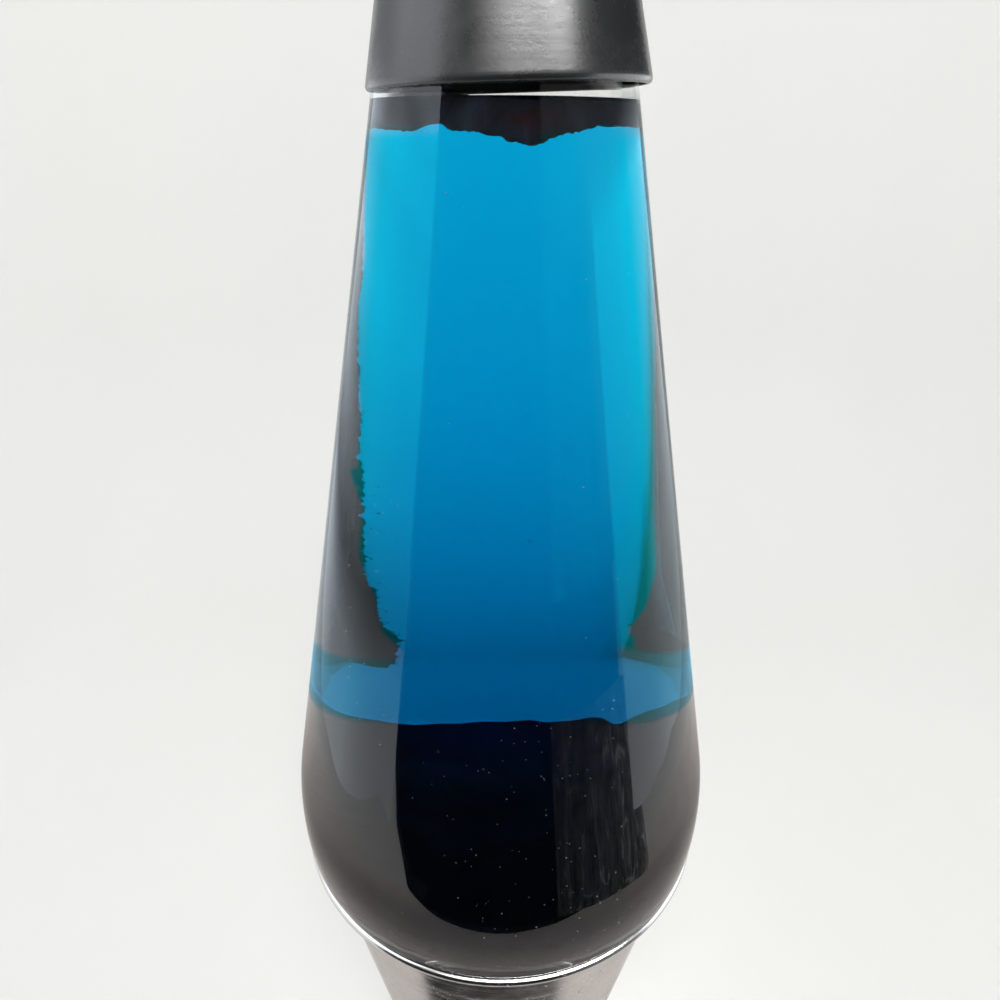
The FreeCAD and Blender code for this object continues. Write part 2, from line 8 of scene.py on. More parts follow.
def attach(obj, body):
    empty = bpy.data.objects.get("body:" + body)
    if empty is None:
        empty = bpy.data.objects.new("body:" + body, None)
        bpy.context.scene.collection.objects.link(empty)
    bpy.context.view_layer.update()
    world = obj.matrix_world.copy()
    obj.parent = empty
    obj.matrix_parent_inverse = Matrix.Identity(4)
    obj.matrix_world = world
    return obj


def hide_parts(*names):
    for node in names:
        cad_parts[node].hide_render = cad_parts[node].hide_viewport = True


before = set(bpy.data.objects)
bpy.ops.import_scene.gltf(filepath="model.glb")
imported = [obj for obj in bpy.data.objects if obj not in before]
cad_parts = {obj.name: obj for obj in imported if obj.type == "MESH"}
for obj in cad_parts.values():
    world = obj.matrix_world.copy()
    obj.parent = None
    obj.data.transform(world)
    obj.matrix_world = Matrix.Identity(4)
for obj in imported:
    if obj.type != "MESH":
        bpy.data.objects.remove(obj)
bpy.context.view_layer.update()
scene = bpy.context.scene
MM = 0.001
rnd = random.Random(52)

# ------------------------------------------------------------------ camera
cam_data = bpy.data.cameras.new("camera")
cam_data.lens = 25.92
cam_data.sensor_width = 36.0
cam_data.sensor_fit = "HORIZONTAL"
cam_data.clip_start = 0.01
cam_data.clip_end = 50.0
cam = bpy.data.objects.new("camera", cam_data)
right = Vector((0.99998806, 0.00217212, 0.00437764))
down = Vector((0.0048869, -0.44447353, -0.89577865))
ahead = Vector((0.0, 0.89578935, -0.44447884))
m = Matrix.Identity(4)
for row in range(3):
    m[row][0] = right[row]
    m[row][1] = -down[row]
    m[row][2] = -ahead[row]
    m[row][3] = (-0.00057, -0.15926, 0.35558)[row]
cam.matrix_world = m
scene.collection.objects.link(cam)
scene.camera = cam

# ------------------------------------------------------------------ sizes, in mm, as in the CAD part
RIM_Z, RIM_R, BEAD_R, SHEET = 175.0, 57.0, 1.2, 1.0
WAIST_Z, WAIST_OPEN_R, WAIST_CORNER = 66.0, 24.0, 2.5
CUP_R0, CUP_K = 53.58, 0.18
FOOT_R, FOOT_Z = 56.0, 2.6
GLASS_T, GLOBE_BOTTOM_Z = 3.0, RIM_Z - 72.0
TAPER_R, TAPER_K = 51.9, 0.20
HEEL_R, HEEL_C = 3.5, (53.75, RIM_Z + 4.92)
WIDE_R, WIDE_Z = 57.74, RIM_Z + 13.5
CONE_R0, CONE_K, CONE_Z0, CONE_TOP_Z = 56.09, 0.1915, RIM_Z + 30.0, RIM_Z + 212.5
NECK_R, LIP_R, LIP_Z, GLOBE_TOP_Z, MOUTH_R = 12.2, 13.3, RIM_Z + 226.0, RIM_Z + 232.0, 8.6
LIQUID_Z = RIM_Z + 187.0
CAP_EDGE_Z, CAP_H, CAP_T = RIM_Z + 189.7, 66.3, 0.8
CAP_SEAT_Z, CAP_SEAT_R, CAP_K, CAP_LEAN = RIM_Z + 212.0, 21.60, 0.2309, (1.75, 1.3)
MENISCUS = 0.4          # how far the fluid climbs up the glass


# ------------------------------------------------------------------ outlines
def bend(a, b, c, r, turn=6.0):
    """Points of the arc of radius r that rounds corner b of a-b-c."""
    ux, uz, vx, vz = a[0] - b[0], a[1] - b[1], c[0] - b[0], c[1] - b[1]
    lu, lv = math.hypot(ux, uz), math.hypot(vx, vz)
    ux, uz, vx, vz = ux / lu, uz / lu, vx / lv, vz / lv
    ang = math.acos(max(-1.0, min(1.0, ux * vx + uz * vz)))
    t = r / math.tan(ang / 2)
    p, q = (b[0] + ux * t, b[1] + uz * t), (b[0] + vx * t, b[1] + vz * t)
    lm = math.hypot(ux + vx, uz + vz)
    d = r / math.sin(ang / 2)
    cx, cz = b[0] + (ux + vx) / lm * d, b[1] + (uz + vz) / lm * d
    return swing((cx, cz), p, q, turn)


def swing(c, p, q, turn=6.0):
    """Points of the shorter arc about c from p to q, both ends included."""
    a0, a1 = math.atan2(p[1] - c[1], p[0] - c[0]), math.atan2(q[1] - c[1], q[0] - c[0])
    while a1 - a0 > math.pi:
        a1 -= 2 * math.pi
    while a1 - a0 < -math.pi:
        a1 += 2 * math.pi
    return turn_from(c, math.hypot(p[0] - c[0], p[1] - c[1]), a0, a1, turn)


def turn_from(c, r, a0, a1, turn=6.0):
    n = max(2, int(math.ceil(abs(math.degrees(a1 - a0)) / turn)))
    return [(c[0] + r * math.cos(a0 + (a1 - a0) * i / n), c[1] + r * math.sin(a0 + (a1 - a0) * i / n)) for i in range(n + 1)]


def through(p, m, q, turn=1.5):
    """Points of the arc from p by m to q."""
    ax, ay, bx, by, cx, cy = *p, *m, *q
    d = 2 * (ax * (by - cy) + bx * (cy - ay) + cx * (ay - by))
    ux = ((ax * ax + ay * ay) * (by - cy) + (bx * bx + by * by) * (cy - ay) + (cx * cx + cy * cy) * (ay - by)) / d
    uy = ((ax * ax + ay * ay) * (cx - bx) + (bx * bx + by * by) * (ax - cx) + (cx * cx + cy * cy) * (bx - ax)) / d
    return swing((ux, uy), p, m, turn)[:-1] + swing((ux, uy), m, q, turn)


def rounded(points, radii=None, closed=True, turn=6.0):
    """(r, z) points with rounded corners."""
    radii = radii or {}
    out, n = [], len(points)
    for i, p in enumerate(points):
        if radii.get(i) and (closed or 0 < i < n - 1):
            prev = out[-1] if (out and i - 1 in radii) else points[i - 1]
            out += bend(prev, p, points[(i + 1) % n], radii[i], turn)
        else:
            out.append(p)
    return out


def offset_line(points, t):
    """The open line moved t to its left, with mitred corners."""
    segs = []
    for a, b in zip(points, points[1:]):
        dx, dz = b[0] - a[0], b[1] - a[1]
        l = math.hypot(dx, dz)
        segs.append(((a[0] - dz / l * t, a[1] + dx / l * t), (b[0] - dz / l * t, b[1] + dx / l * t)))
    out = [segs[0][0]]
    for (a, b), (c, d) in zip(segs, segs[1:]):
        den = (a[0] - b[0]) * (c[1] - d[1]) - (a[1] - b[1]) * (c[0] - d[0])
        px = ((a[0] * b[1] - a[1] * b[0]) * (c[0] - d[0]) - (a[0] - b[0]) * (c[0] * d[1] - c[1] * d[0])) / den
        pz = ((a[0] * b[1] - a[1] * b[0]) * (c[1] - d[1]) - (a[1] - b[1]) * (c[0] * d[1] - c[1] * d[0])) / den
        out.append((px, pz))
    return out + [segs[-1][1]]


def divided(points, step):
    """The same line with no run longer than step."""
    out = [points[0]]
    for a, b in zip(points, points[1:]):
        n = max(1, int(math.ceil(math.hypot(b[0] - a[0], b[1] - a[1]) / step)))
        out += [(a[0] + (b[0] - a[0]) * i / n, a[1] + (b[1] - a[1]) * i / n) for i in range(1, n + 1)]
    return out


def meets(a, b, c, r):
    """The first point on the way from a to b that is r from c."""
    lo = None
    for i in range(4001):
        t = i / 4000
        p = (a[0] + (b[0] - a[0]) * t, a[1] + (b[1] - a[1]) * t)
        if math.hypot(p[0] - c[0], p[1] - c[1]) <= r:
            return p
    return b


def cup_r(z):
    return CUP_R0 + CUP_K * (z - RIM_Z)


def cone_r(z):
    return CONE_R0 - CONE_K * (z - CONE_Z0)


def taper_r(z):
    return TAPER_R + TAPER_K * (z - RIM_Z)


# ------------------------------------------------------------------ meshes
def finish_mesh(name, verts, faces, body, mats, face_mat=None, sharp=35.0, outward=True):
    me = bpy.data.meshes.new(name)
    me.from_pydata([(x * MM, y * MM, z * MM) for x, y, z in verts], [], faces)
    for mt in mats:
        me.materials.append(mt)
    if face_mat:
        me.polygons.foreach_set("material_index", face_mat)
    bm = bmesh.new()
    bm.from_mesh(me)
    bmesh.ops.dissolve_degenerate(bm, dist=1e-8, edges=bm.edges)
    if outward:
        bmesh.ops.recalc_face_normals(bm, faces=bm.faces)
    bm.to_mesh(me)
    bm.free()
    me.validate()
    me.shade_smooth()
    if sharp:
        me.set_sharp_from_angle(angle=math.radians(sharp))
    o = bpy.data.objects.new(name, me)
    scene.collection.objects.link(o)
    if body:
        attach(o, body)
    return o


def lathe(name, outline, body, mats, seg=256, closed=True, mat_at=None, place=None, sharp=35.0):
    """A turned body from an (r, z) outline in mm. Points on the axis become one vertex."""
    cs = [(math.cos(2 * math.pi * i / seg), math.sin(2 * math.pi * i / seg)) for i in range(seg)]
    verts, rows = [], []
    for r, z in outline:
        if r < 1e-6:
            rows.append([len(verts)])
            verts.append((0.0, 0.0, z))
        else:
            rows.append(list(range(len(verts), len(verts) + seg)))
            verts += [(r * c, r * s, z) for c, s in cs]
    if place is not None:
        verts = [tuple(place @ Vector(v)) for v in verts]
    faces, idx = [], []
    n = len(rows)
    for k in range(n if closed else n - 1):
        a, b = rows[k], rows[(k + 1) % n]
        if len(a) == 1 and len(b) == 1:
            continue
        mi = mat_at(outline[k], outline[(k + 1) % n]) if mat_at else 0
        for i in range(seg):
            j = (i + 1) % seg
            if len(a) == 1:
                faces.append((a[0], b[i], b[j]))
            elif len(b) == 1:
                faces.append((a[i], a[j], b[0]))
            else:
                faces.append((a[i], a[j], b[j], b[i]))
            idx.append(mi)
    return finish_mesh(name, verts, faces, body, mats, idx, sharp)


def columns(name, cols, body, mats, wrap=True, sharp=40.0, poles=(True, True), mat_rows=None):
    """A closed body from columns of points of one length. With poles, the first and last points of all columns are one."""
    n, k = len(cols), len(cols[0])
    verts, grid = [], [[None] * k for _ in range(n)]
    for j in range(k):
        if (j == 0 and poles[0]) or (j == k - 1 and poles[1]):
            sx = [sum(c[j][q] for c in cols) / n for q in range(3)]
            verts.append(tuple(sx))
            for i in range(n):
                grid[i][j] = len(verts) - 1
        else:
            for i in range(n):
                verts.append(cols[i][j])
                grid[i][j] = len(verts) - 1
    faces, idx = [], []
    for i in range(n if wrap else n - 1):
        i2 = (i + 1) % n
        for j in range(k - 1):
            f = []
            for v in (grid[i][j], grid[i2][j], grid[i2][j + 1], grid[i][j + 1]):
                if v not in f:
                    f.append(v)
            if len(f) >= 3:
                faces.append(tuple(f))
                idx.append(mat_rows[j] if mat_rows else 0)
    return finish_mesh(name, verts, faces, body, mats, idx, sharp)


def tube(points, radius, sides=8, loop=False):
    """Vertices and faces of a round wire along the points."""
    verts, faces, n = [], [], len(points)
    pts = [Vector(p) for p in points]
    up = None
    for i, p in enumerate(pts):
        t = (pts[(i + 1) % n] - pts[i - 1]) if (loop or 0 < i < n - 1) else (pts[1] - pts[0] if i == 0 else pts[-1] - pts[-2])
        t.normalize()
        if up is None:
            up = t.orthogonal().normalized()
        up = (up - t * up.dot(t)).normalized()
        side = t.cross(up)
        for s in range(sides):
            a = 2 * math.pi * s / sides
            verts.append(tuple(p + (up * math.cos(a) + side * math.sin(a)) * radius))
    for i in range(n if loop else n - 1):
        for s in range(sides):
            a, b = i * sides + s, i * sides + (s + 1) % sides
            c, d = ((i + 1) % n) * sides + (s + 1) % sides, ((i + 1) % n) * sides + s
            faces.append((a, b, c, d))
    if not loop:
        faces.append(tuple(reversed(range(sides))))
        faces.append(tuple(range((n - 1) * sides, n * sides)))
    return verts, faces


def table(x, rows):
    """Straight-line reading of a table of (x, value) rows."""
    if x <= rows[0][0]:
        return rows[0][1]
    for (a, va), (b, vb) in zip(rows, rows[1:]):
        if x <= b:
            return va + (vb - va) * (x - a) / (b - a)
    return rows[-1][1]


def smooth(t):
    t = max(0.0, min(1.0, t))
    return t * t * (3 - 2 * t)


def nz(x, y=0.0, z=0.0, octaves=4):
    """Noise from -1 to 1."""
    return noise.fractal(Vector((x, y, z)), 0.9, 2.1, octaves, noise_basis="PERLIN_ORIGINAL")


# ------------------------------------------------------------------ material helpers
class Mat:
    def __init__(self, name):
        self.m = bpy.data.materials.new(name)
        self.m.use_nodes = True
        self.nt = self.m.node_tree
        self.nt.nodes.clear()
        self.out = self.n("ShaderNodeOutputMaterial")
        self.b = self.n("ShaderNodeBsdfPrincipled")
        self.l(self.b.outputs[0], self.out.inputs["Surface"])
        self.tc = None

    def n(self, kind, **props):
        nd = self.nt.nodes.new(kind)
        for k, v in props.items():
            setattr(nd, k, v)
        return nd

    def l(self, a, b):
        self.nt.links.new(a, b)

    def put(self, **vals):
        for k, v in vals.items():
            self.b.inputs[k.replace("_", " ")].default_value = v
        return self

    def pos(self):
        if self.tc is None:
            self.tc = self.n("ShaderNodeTexCoord").outputs["Object"]
        return self.tc

    def math(self, op, a, b=None, clamp=False):
        nd = self.n("ShaderNodeMath", operation=op, use_clamp=clamp)
        for i, x in enumerate((a, b)):
            if x is None:
                continue
            if isinstance(x, (int, float)):
                nd.inputs[i].default_value = x
            else:
                self.l(x, nd.inputs[i])
        return nd.outputs[0]

    def scaled(self, sx, sy, sz, vec=None):
        nd = self.n("ShaderNodeVectorMath", operation="MULTIPLY")
        self.l(vec or self.pos(), nd.inputs[0])
        nd.inputs[1].default_value = (sx, sy, sz)
        return nd.outputs[0]

    def turned(self, kr, kz, ka):
        """A vector that runs along rings about Z: radius, height and angle, each with its own scale."""
        s = self.n("ShaderNodeSeparateXYZ")
        self.l(self.pos(), s.inputs[0])
        r = self.math("SQRT", self.math("ADD", self.math("MULTIPLY", s.outputs[0], s.outputs[0]), self.math("MULTIPLY", s.outputs[1], s.outputs[1])))
        a = self.math("ARCTAN2", s.outputs[1], s.outputs[0])
        c = self.n("ShaderNodeCombineXYZ")
        self.l(self.math("MULTIPLY", r, kr), c.inputs[0])
        self.l(self.math("MULTIPLY", s.outputs[2], kz), c.inputs[1])
        self.l(self.math("MULTIPLY", a, ka), c.inputs[2])
        return c.outputs[0]

    def noise(self, scale, detail=4.0, rough=0.55, vec=None, distortion=0.0):
        nd = self.n("ShaderNodeTexNoise")
        nd.inputs["Scale"].default_value = scale
        nd.inputs["Detail"].default_value = detail
        nd.inputs["Roughness"].default_value = rough
        nd.inputs["Distortion"].default_value = distortion
        self.l(vec if vec is not None else self.pos(), nd.inputs["Vector"])
        return nd.outputs["Fac"] if "Fac" in nd.outputs else nd.outputs[0]

    def cells(self, scale, vec=None, feature="F1"):
        nd = self.n("ShaderNodeTexVoronoi", feature=feature)
        nd.inputs["Scale"].default_value = scale
        self.l(vec if vec is not None else self.pos(), nd.inputs["Vector"])
        return nd.outputs["Distance"], (nd.outputs["Color"] if feature == "F1" else None)

    def ramp(self, fac, stops, ease=False):
        nd = self.n("ShaderNodeValToRGB")
        if ease:
            nd.color_ramp.interpolation = "EASE"
        el = nd.color_ramp.elements
        while len(el) > 1:
            el.remove(el[-1])
        el[0].position = stops[0][0]
        el[0].color = self.rgb(stops[0][1])
        for p, c in stops[1:]:
            e = el.new(p)
            e.color = self.rgb(c)
        self.l(fac, nd.inputs[0])
        return nd.outputs[0]

    @staticmethod
    def rgb(c):
        return (c, c, c, 1.0) if isinstance(c, (int, float)) else (c[0], c[1], c[2], 1.0)

    def mix(self, fac, a, b, kind="MIX"):
        nd = self.n("ShaderNodeMix", data_type="RGBA", blend_type=kind)
        for i, x in ((0, fac), (6, a), (7, b)):
            if isinstance(x, (int, float)) and i == 0:
                nd.inputs[0].default_value = x
            elif isinstance(x, (int, float, tuple)):
                nd.inputs[i].default_value = self.rgb(x)
            else:
                self.l(x, nd.inputs[i])
        return nd.outputs[2]

    def between(self, fac, lo, hi):
        nd = self.n("ShaderNodeMapRange")
        self.l(fac, nd.inputs["Value"])
        nd.inputs["From Min"].default_value = 0.3
        nd.inputs["From Max"].default_value = 0.7
        nd.inputs["To Min"].default_value = lo
        nd.inputs["To Max"].default_value = hi
        return nd.outputs[0]

    def color(self, x):
        self.l(x, self.b.inputs["Base Color"])
        return self

    def rough(self, x):
        self.l(x, self.b.inputs["Roughness"])
        return self

    def bump(self, height, strength, dist, after=None):
        nd = self.n("ShaderNodeBump")
        nd.inputs["Strength"].default_value = strength
        nd.inputs["Distance"].default_value = dist
        self.l(height, nd.inputs["Height"])
        if after is not None:
            self.l(after, nd.inputs["Normal"])
        self.l(nd.outputs[0], self.b.inputs["Normal"])
        return nd.outputs[0]


# ------------------------------------------------------------------ materials
def aluminium(name="aluminium_spun", lo=0.10, hi=0.24, tone=1.0):
    """Polished spun aluminium: fine rings from the lathe, hazy smudges, hairline scratches."""
    a = Mat(name).put(Metallic=1.0, Anisotropic=0.35)
    fine = a.noise(1.0, 3.0, 0.6, a.turned(5200.0, 5200.0, 0.9))
    broad = a.noise(1.0, 4.0, 0.6, a.turned(420.0, 420.0, 0.35))
    smudge = a.noise(26.0, 6.0, 0.62, None, 0.6)
    hair = a.noise(1.0, 2.0, 0.5, a.scaled(900.0, 60.0, 700.0))
    hair = a.ramp(hair, [(0.0, 0.0), (0.66, 0.0), (0.70, 1.0), (0.74, 0.0)])
    col = a.mix(a.ramp(smudge, [(0.35, 0.0), (0.75, 1.0)]), (0.83 * tone, 0.83 * tone, 0.82 * tone), (0.70 * tone, 0.695 * tone, 0.675 * tone))
    col = a.mix(a.math("MULTIPLY", fine, 0.22), col, (0.62, 0.62, 0.61), "MIX")
    a.color(col)
    r = a.between(broad, lo, hi)
    r = a.math("ADD", r, a.math("MULTIPLY", a.ramp(smudge, [(0.45, 0.0), (0.8, 1.0)]), 0.12))
    r = a.math("ADD", r, a.math("MULTIPLY", hair, 0.10))
    a.rough(a.math("ADD", r, a.math("MULTIPLY", fine, 0.04)))
    first = a.bump(broad, 0.16, 0.00012)
    a.bump(fine, 0.10, 0.00004, first)
    return a.m


def brass(name, tarnish=0.5, lo=0.18, hi=0.38, base=(0.78, 0.57, 0.25)):
    a = Mat(name).put(Metallic=1.0)
    spots = a.noise(240.0, 6.0, 0.65, None, 0.8)
    fine = a.noise(2600.0, 3.0, 0.6)
    lines = a.noise(1.0, 2.0, 0.5, a.turned(900.0, 2600.0, 3.0))
    a.color(a.mix(a.ramp(spots, [(0.40, 0.0), (0.72, tarnish)]), base, (0.30, 0.19, 0.085)))
    a.rough(a.math("ADD", a.between(spots, lo, hi), a.math("MULTIPLY", lines, 0.08)))
    first = a.bump(lines, 0.12, 0.00005)
    a.bump(fine, 0.08, 0.00002, first)
    return a.m


def steel(name, base=(0.60, 0.61, 0.64), alt=(0.50, 0.50, 0.47), lo=0.22, hi=0.42, cell=420.0):
    """Zinc plate: small crystal patches, dull and bright."""
    a = Mat(name).put(Metallic=1.0)
    d, c = a.cells(cell)
    patch = a.noise(55.0, 5.0, 0.6)
    fine = a.noise(1800.0, 4.0, 0.6)
    col = a.mix(a.ramp(patch, [(0.3, 0.0), (0.7, 1.0)]), base, alt)
    a.color(a.mix(a.math("MULTIPLY", a.math("MULTIPLY", d, 1.0), 0.5), col, (0.72, 0.73, 0.75)))
    a.rough(a.math("ADD", a.between(patch, lo, hi), a.math("MULTIPLY", fine, 0.08)))
    first = a.bump(fine, 0.14, 0.00003)
    a.bump(d, 0.10, 0.00003, first)
    return a.m


def rubber(name, base=(0.018, 0.018, 0.019)):
    a = Mat(name).put(Specular_IOR_Level=0.35)
    dust = a.noise(60.0, 6.0, 0.6, None, 0.4)
    grain = a.noise(2600.0, 3.0, 0.6)
    a.color(a.mix(a.ramp(dust, [(0.45, 0.0), (0.85, 0.55)]), base, (0.085, 0.082, 0.078)))
    a.rough(a.between(dust, 0.52, 0.78))
    first = a.bump(grain, 0.35, 0.00005)
    a.bump(dust, 0.08, 0.0002, first)
    return a.m


def fibre(name):
    """Pressed fibre board: short crossed fibres, a calendered face."""
    a = Mat(name)
    f1 = a.noise(1.0, 5.0, 0.7, a.scaled(260.0, 1900.0, 900.0))
    f2 = a.noise(1.0, 5.0, 0.7, a.scaled(1700.0, 300.0, 900.0))
    fib = a.mix(0.5, f1, f2)
    cloud = a.noise(34.0, 5.0, 0.6)
    col = a.mix(a.ramp(fib, [(0.40, 0.0), (0.62, 1.0)]), (0.040, 0.036, 0.034), (0.105, 0.092, 0.080))
    a.color(a.mix(a.ramp(cloud, [(0.35, 0.0), (0.75, 0.5)]), col, (0.055, 0.050, 0.048)))
    a.rough(a.between(fib, 0.50, 0.80))
    a.bump(fib, 0.35, 0.00012)
    return a.m


def phenolic(name):
    a = Mat(name).put(Specular_IOR_Level=0.5)
    swirl = a.noise(95.0, 6.0, 0.6, None, 2.2)
    grain = a.noise(1500.0, 4.0, 0.6)
    col = a.mix(a.ramp(swirl, [(0.35, 0.0), (0.68, 1.0)]), (0.018, 0.011, 0.008), (0.060, 0.034, 0.021))
    a.color(a.mix(a.ramp(grain, [(0.62, 0.0), (0.80, 0.6)]), col, (0.13, 0.09, 0.06)))
    a.rough(a.between(swirl, 0.24, 0.44))
    a.bump(grain, 0.10, 0.00005)
    return a.m


def lamp_glass(name, tint=(0.985, 0.992, 0.99), smear=0.035):
    a = Mat(name).put(Base_Color=(*tint, 1.0), Transmission_Weight=1.0, IOR=1.50)
    haze = a.noise(120.0, 5.0, 0.6, None, 0.5)
    wave = a.noise(30.0, 2.0, 0.5)
    a.rough(a.math("MULTIPLY", a.ramp(haze, [(0.52, 0.0), (0.85, 1.0)]), smear))
    a.bump(wave, 0.05, 0.0006)
    return a.m


# where the wax beside the glass begins, seen through it: (height above the rim in mm, degrees from straight back)
VEIL_LEFT = [(60, 180), (84, 158), (87, 153), (89, 146), (95.5, 142.5), (103, 134), (114, 134), (118, 127), (119.5, 124.5), (121, 129.5), (133, 128.5), (142, 123), (151.5, 119), (161, 121.5), (175, 112), (183, 99), (190, 91)]
VEIL_RIGHT = [(60, 180), (80, 146), (84, 141.5), (87, 141.5), (89, 144), (92, 136), (99, 129.5), (112.3, 128.5), (133, 123), (151, 115), (165, 107.5), (183, 97), (190, 90)]


def globe_glass(name, ior, wave=0.06):
    """Pressed and blown clear glass, with a slow unevenness in its wall. On the outer face the mirror colour is
    painted reflection.
    """
    a = Mat(name).put(Base_Color=(1.0, 1.0, 1.0, 1.0), Transmission_Weight=1.0, IOR=ior)
    haze = a.noise(70.0, 6.0, 0.6, a.scaled(1.0, 1.0, 0.35), 0.8)
    slow = a.noise(1.0, 2.0, 0.5, a.scaled(26.0, 26.0, 9.0))
    rough = a.math("MULTIPLY", a.ramp(haze, [(0.60, 0.0), (0.90, 1.0)]), 0.012)
    a.rough(rough)
    normal = a.bump(slow, wave, 0.0010)
    if ior < 1.3:
        return a.m
    # the outer face: bends and mirrors as glass does; its mirror colour is painted reflection, tinted blue where the
    # liquid lies behind it and greyed where the floating wax lies behind it
    s = a.n("ShaderNodeSeparateXYZ")
    a.l(a.pos(), s.inputs[0])
    h = a.math("MULTIPLY", a.math("SUBTRACT", s.outputs[2], 0.175), 5.0)
    deg = a.math("MULTIPLY", a.math("ARCTAN2", a.math("ABSOLUTE", s.outputs[0]), s.outputs[1]), 1.0 / math.pi)
    on_right = a.math("MULTIPLY", s.outputs[0], 500.0, True)

    def by_side(left, right):
        return a.math("ADD", a.math("MULTIPLY", left, a.math("SUBTRACT", 1.0, on_right)), a.math("MULTIPLY", right, on_right))

    def clear_of(x, limit, k):
        return a.math("ADD", a.math("MULTIPLY", a.math("SUBTRACT", x, limit), k), 0.5, True)

    edge = by_side(a.ramp(h, [(z / 200.0, d / 180.0) for z, d in VEIL_LEFT]), a.ramp(h, [(z / 200.0, d / 180.0) for z, d in VEIL_RIGHT]))
    foot_l = a.math("ADD", a.math("MULTIPLY", deg, 0.35 * 180 / 200.0), (78 - 133 * 0.35) / 200.0)
    foot_r = a.math("ADD", a.math("MULTIPLY", deg, 0.46 * 180 / 200.0), (82 - 138 * 0.46) / 200.0)
    top_l = a.math("ADD", a.math("MULTIPLY", deg, 0.38 * 180 / 200.0), (63.4 - 135 * 0.38) / 200.0)
    top_r = a.math("ADD", a.math("MULTIPLY", deg, 0.35 * 180 / 200.0), (65.4 - 140 * 0.35) / 200.0)
    under_veil = clear_of(by_side(foot_l, foot_r), h, 120.0)
    beside = clear_of(deg, edge, 70.0)
    over_wax = clear_of(h, by_side(top_l, top_r), 120.0)
    # masks for the painted reflection colour: wet where the liquid lies behind the glass, dull where the floating wax
    # does
    wet = a.math("MULTIPLY", a.math("MAXIMUM", under_veil, beside), a.math("MULTIPLY", over_wax, a.ramp(h, [(0.906, 1.0), (0.916, 0.0)])))
    dull = a.math("MULTIPLY", a.math("MULTIPLY", over_wax, a.ramp(h, [(0.93, 1.0), (0.95, 0.0)])), 1.0)
    # painted reflection: the mirror is greyed over the floating wax
    film = a.mix(on_right, (0.80, 0.85, 0.90), (0.55, 0.59, 0.61))
    share = a.n("ShaderNodeFresnel")
    share.inputs["IOR"].default_value = ior
    a.l(normal, share.inputs["Normal"])
    slant = a.ramp(share.outputs[0], [(0.085, 0.0), (0.12, 0.36), (0.16, 0.50), (0.25, 0.80), (0.40, 1.0)])
    # painted reflection: the mirror is tinted blue over the liquid, paler blue at a slant
    painted_reflection_blue = a.mix(slant, a.mix(under_veil, (0.0, 0.95, 1.0), (0.34, 0.94, 1.0)), (0.38, 0.78, 1.0))
    tint = a.mix(wet, a.mix(dull, (1.0, 1.0, 1.0), film), painted_reflection_blue)
    bend_light = a.n("ShaderNodeBsdfRefraction")
    bend_light.inputs["Color"].default_value = (1.0, 1.0, 1.0, 1.0)
    bend_light.inputs["IOR"].default_value = ior
    mirror = a.n("ShaderNodeBsdfAnisotropic")
    a.l(tint, mirror.inputs["Color"])
    for nd in (bend_light, mirror):
        a.l(rough, nd.inputs["Roughness"])
        a.l(normal, nd.inputs["Normal"])
    both = a.n("ShaderNodeMixShader")
    a.l(share.outputs[0], both.inputs[0])
    a.l(bend_light.outputs[0], both.inputs[1])
    a.l(mirror.outputs[0], both.inputs[2])
    a.l(both.outputs[0], a.out.inputs["Surface"])
    a.nt.nodes.remove(a.b)
    return a.m


def black_wax(name, rough=(0.14, 0.26), tone=1.0, bloom_bump=0.03, lift=1.0, back_light=0.0):
    """Black wax: a faint bloom on a dark, slightly glossy face. The last argument adds painted light: lighter towards
    the back and a teal tint that grows with height.
    """
    a = Mat(name).put(IOR=1.10)
    bloom = a.noise(60.0, 6.0, 0.60, None, 0.7)
    pits = a.noise(900.0, 4.0, 0.6)
    a.color(a.mix(a.ramp(bloom, [(0.42, 0.0), (0.80, 1.0)]), (0.0040 * tone, 0.0040 * tone, 0.0046 * tone), (0.0110 * tone * lift, 0.0105 * tone * lift, 0.0125 * tone * lift)))
    a.rough(a.between(bloom, *rough))
    first = a.bump(bloom, bloom_bump, 0.0006)
    a.bump(pits, 0.02, 0.00005, first)
    if back_light:
        s = a.n("ShaderNodeSeparateXYZ")
        a.l(a.pos(), s.inputs[0])
        # painted light: the wax is lighter towards the back (+Y), where light comes in through the back of the globe
        back = a.ramp(a.math("ADD", a.math("MULTIPLY", s.outputs[1], 9.0), 0.5), [(0.30, 0.0), (0.62, 0.16), (0.80, 0.50), (0.95, 1.0)], True)
        old = a.b.inputs["Base Color"].links[0].from_socket
        # painted light: a teal tint that grows with height
        thin = a.ramp(a.math("MULTIPLY", a.math("SUBTRACT", s.outputs[2], 0.175), 10.0), [(0.30, 0.0), (0.45, 0.35), (0.62, 1.0)], True)
        old = a.mix(thin, old, (0.0022, 0.075, 0.060))
        a.color(a.mix(a.math("MULTIPLY", back, back_light), old, (0.060, 0.064, 0.072)))
    return a.m


def slab_wax(name):
    """The floating wax: dark, with grey-blue and faint red-brown patches and pits where it has torn."""
    a = Mat(name).put(IOR=1.12)
    patch = a.noise(48.0, 6.0, 0.62, None, 0.9)
    warm = a.noise(70.0, 3.0, 0.5, a.scaled(1.0, 1.0, 2.2))
    streak = a.noise(1.0, 5.0, 0.65, a.scaled(420.0, 420.0, 90.0), 0.4)
    pits = a.noise(800.0, 4.0, 0.6)
    col = a.mix(a.ramp(patch, [(0.36, 0.0), (0.66, 1.0)]), (0.010, 0.012, 0.018), (0.052, 0.066, 0.092))
    col = a.mix(a.ramp(warm, [(0.50, 0.0), (0.62, 0.8)]), col, (0.034, 0.014, 0.016))
    a.color(a.mix(a.ramp(streak, [(0.55, 0.0), (0.78, 0.45)]), col, (0.080, 0.092, 0.112)))
    a.rough(a.between(patch, 0.22, 0.42))
    first = a.bump(streak, 0.20, 0.0004)
    a.bump(pits, 0.10, 0.00008, first)
    return a.m


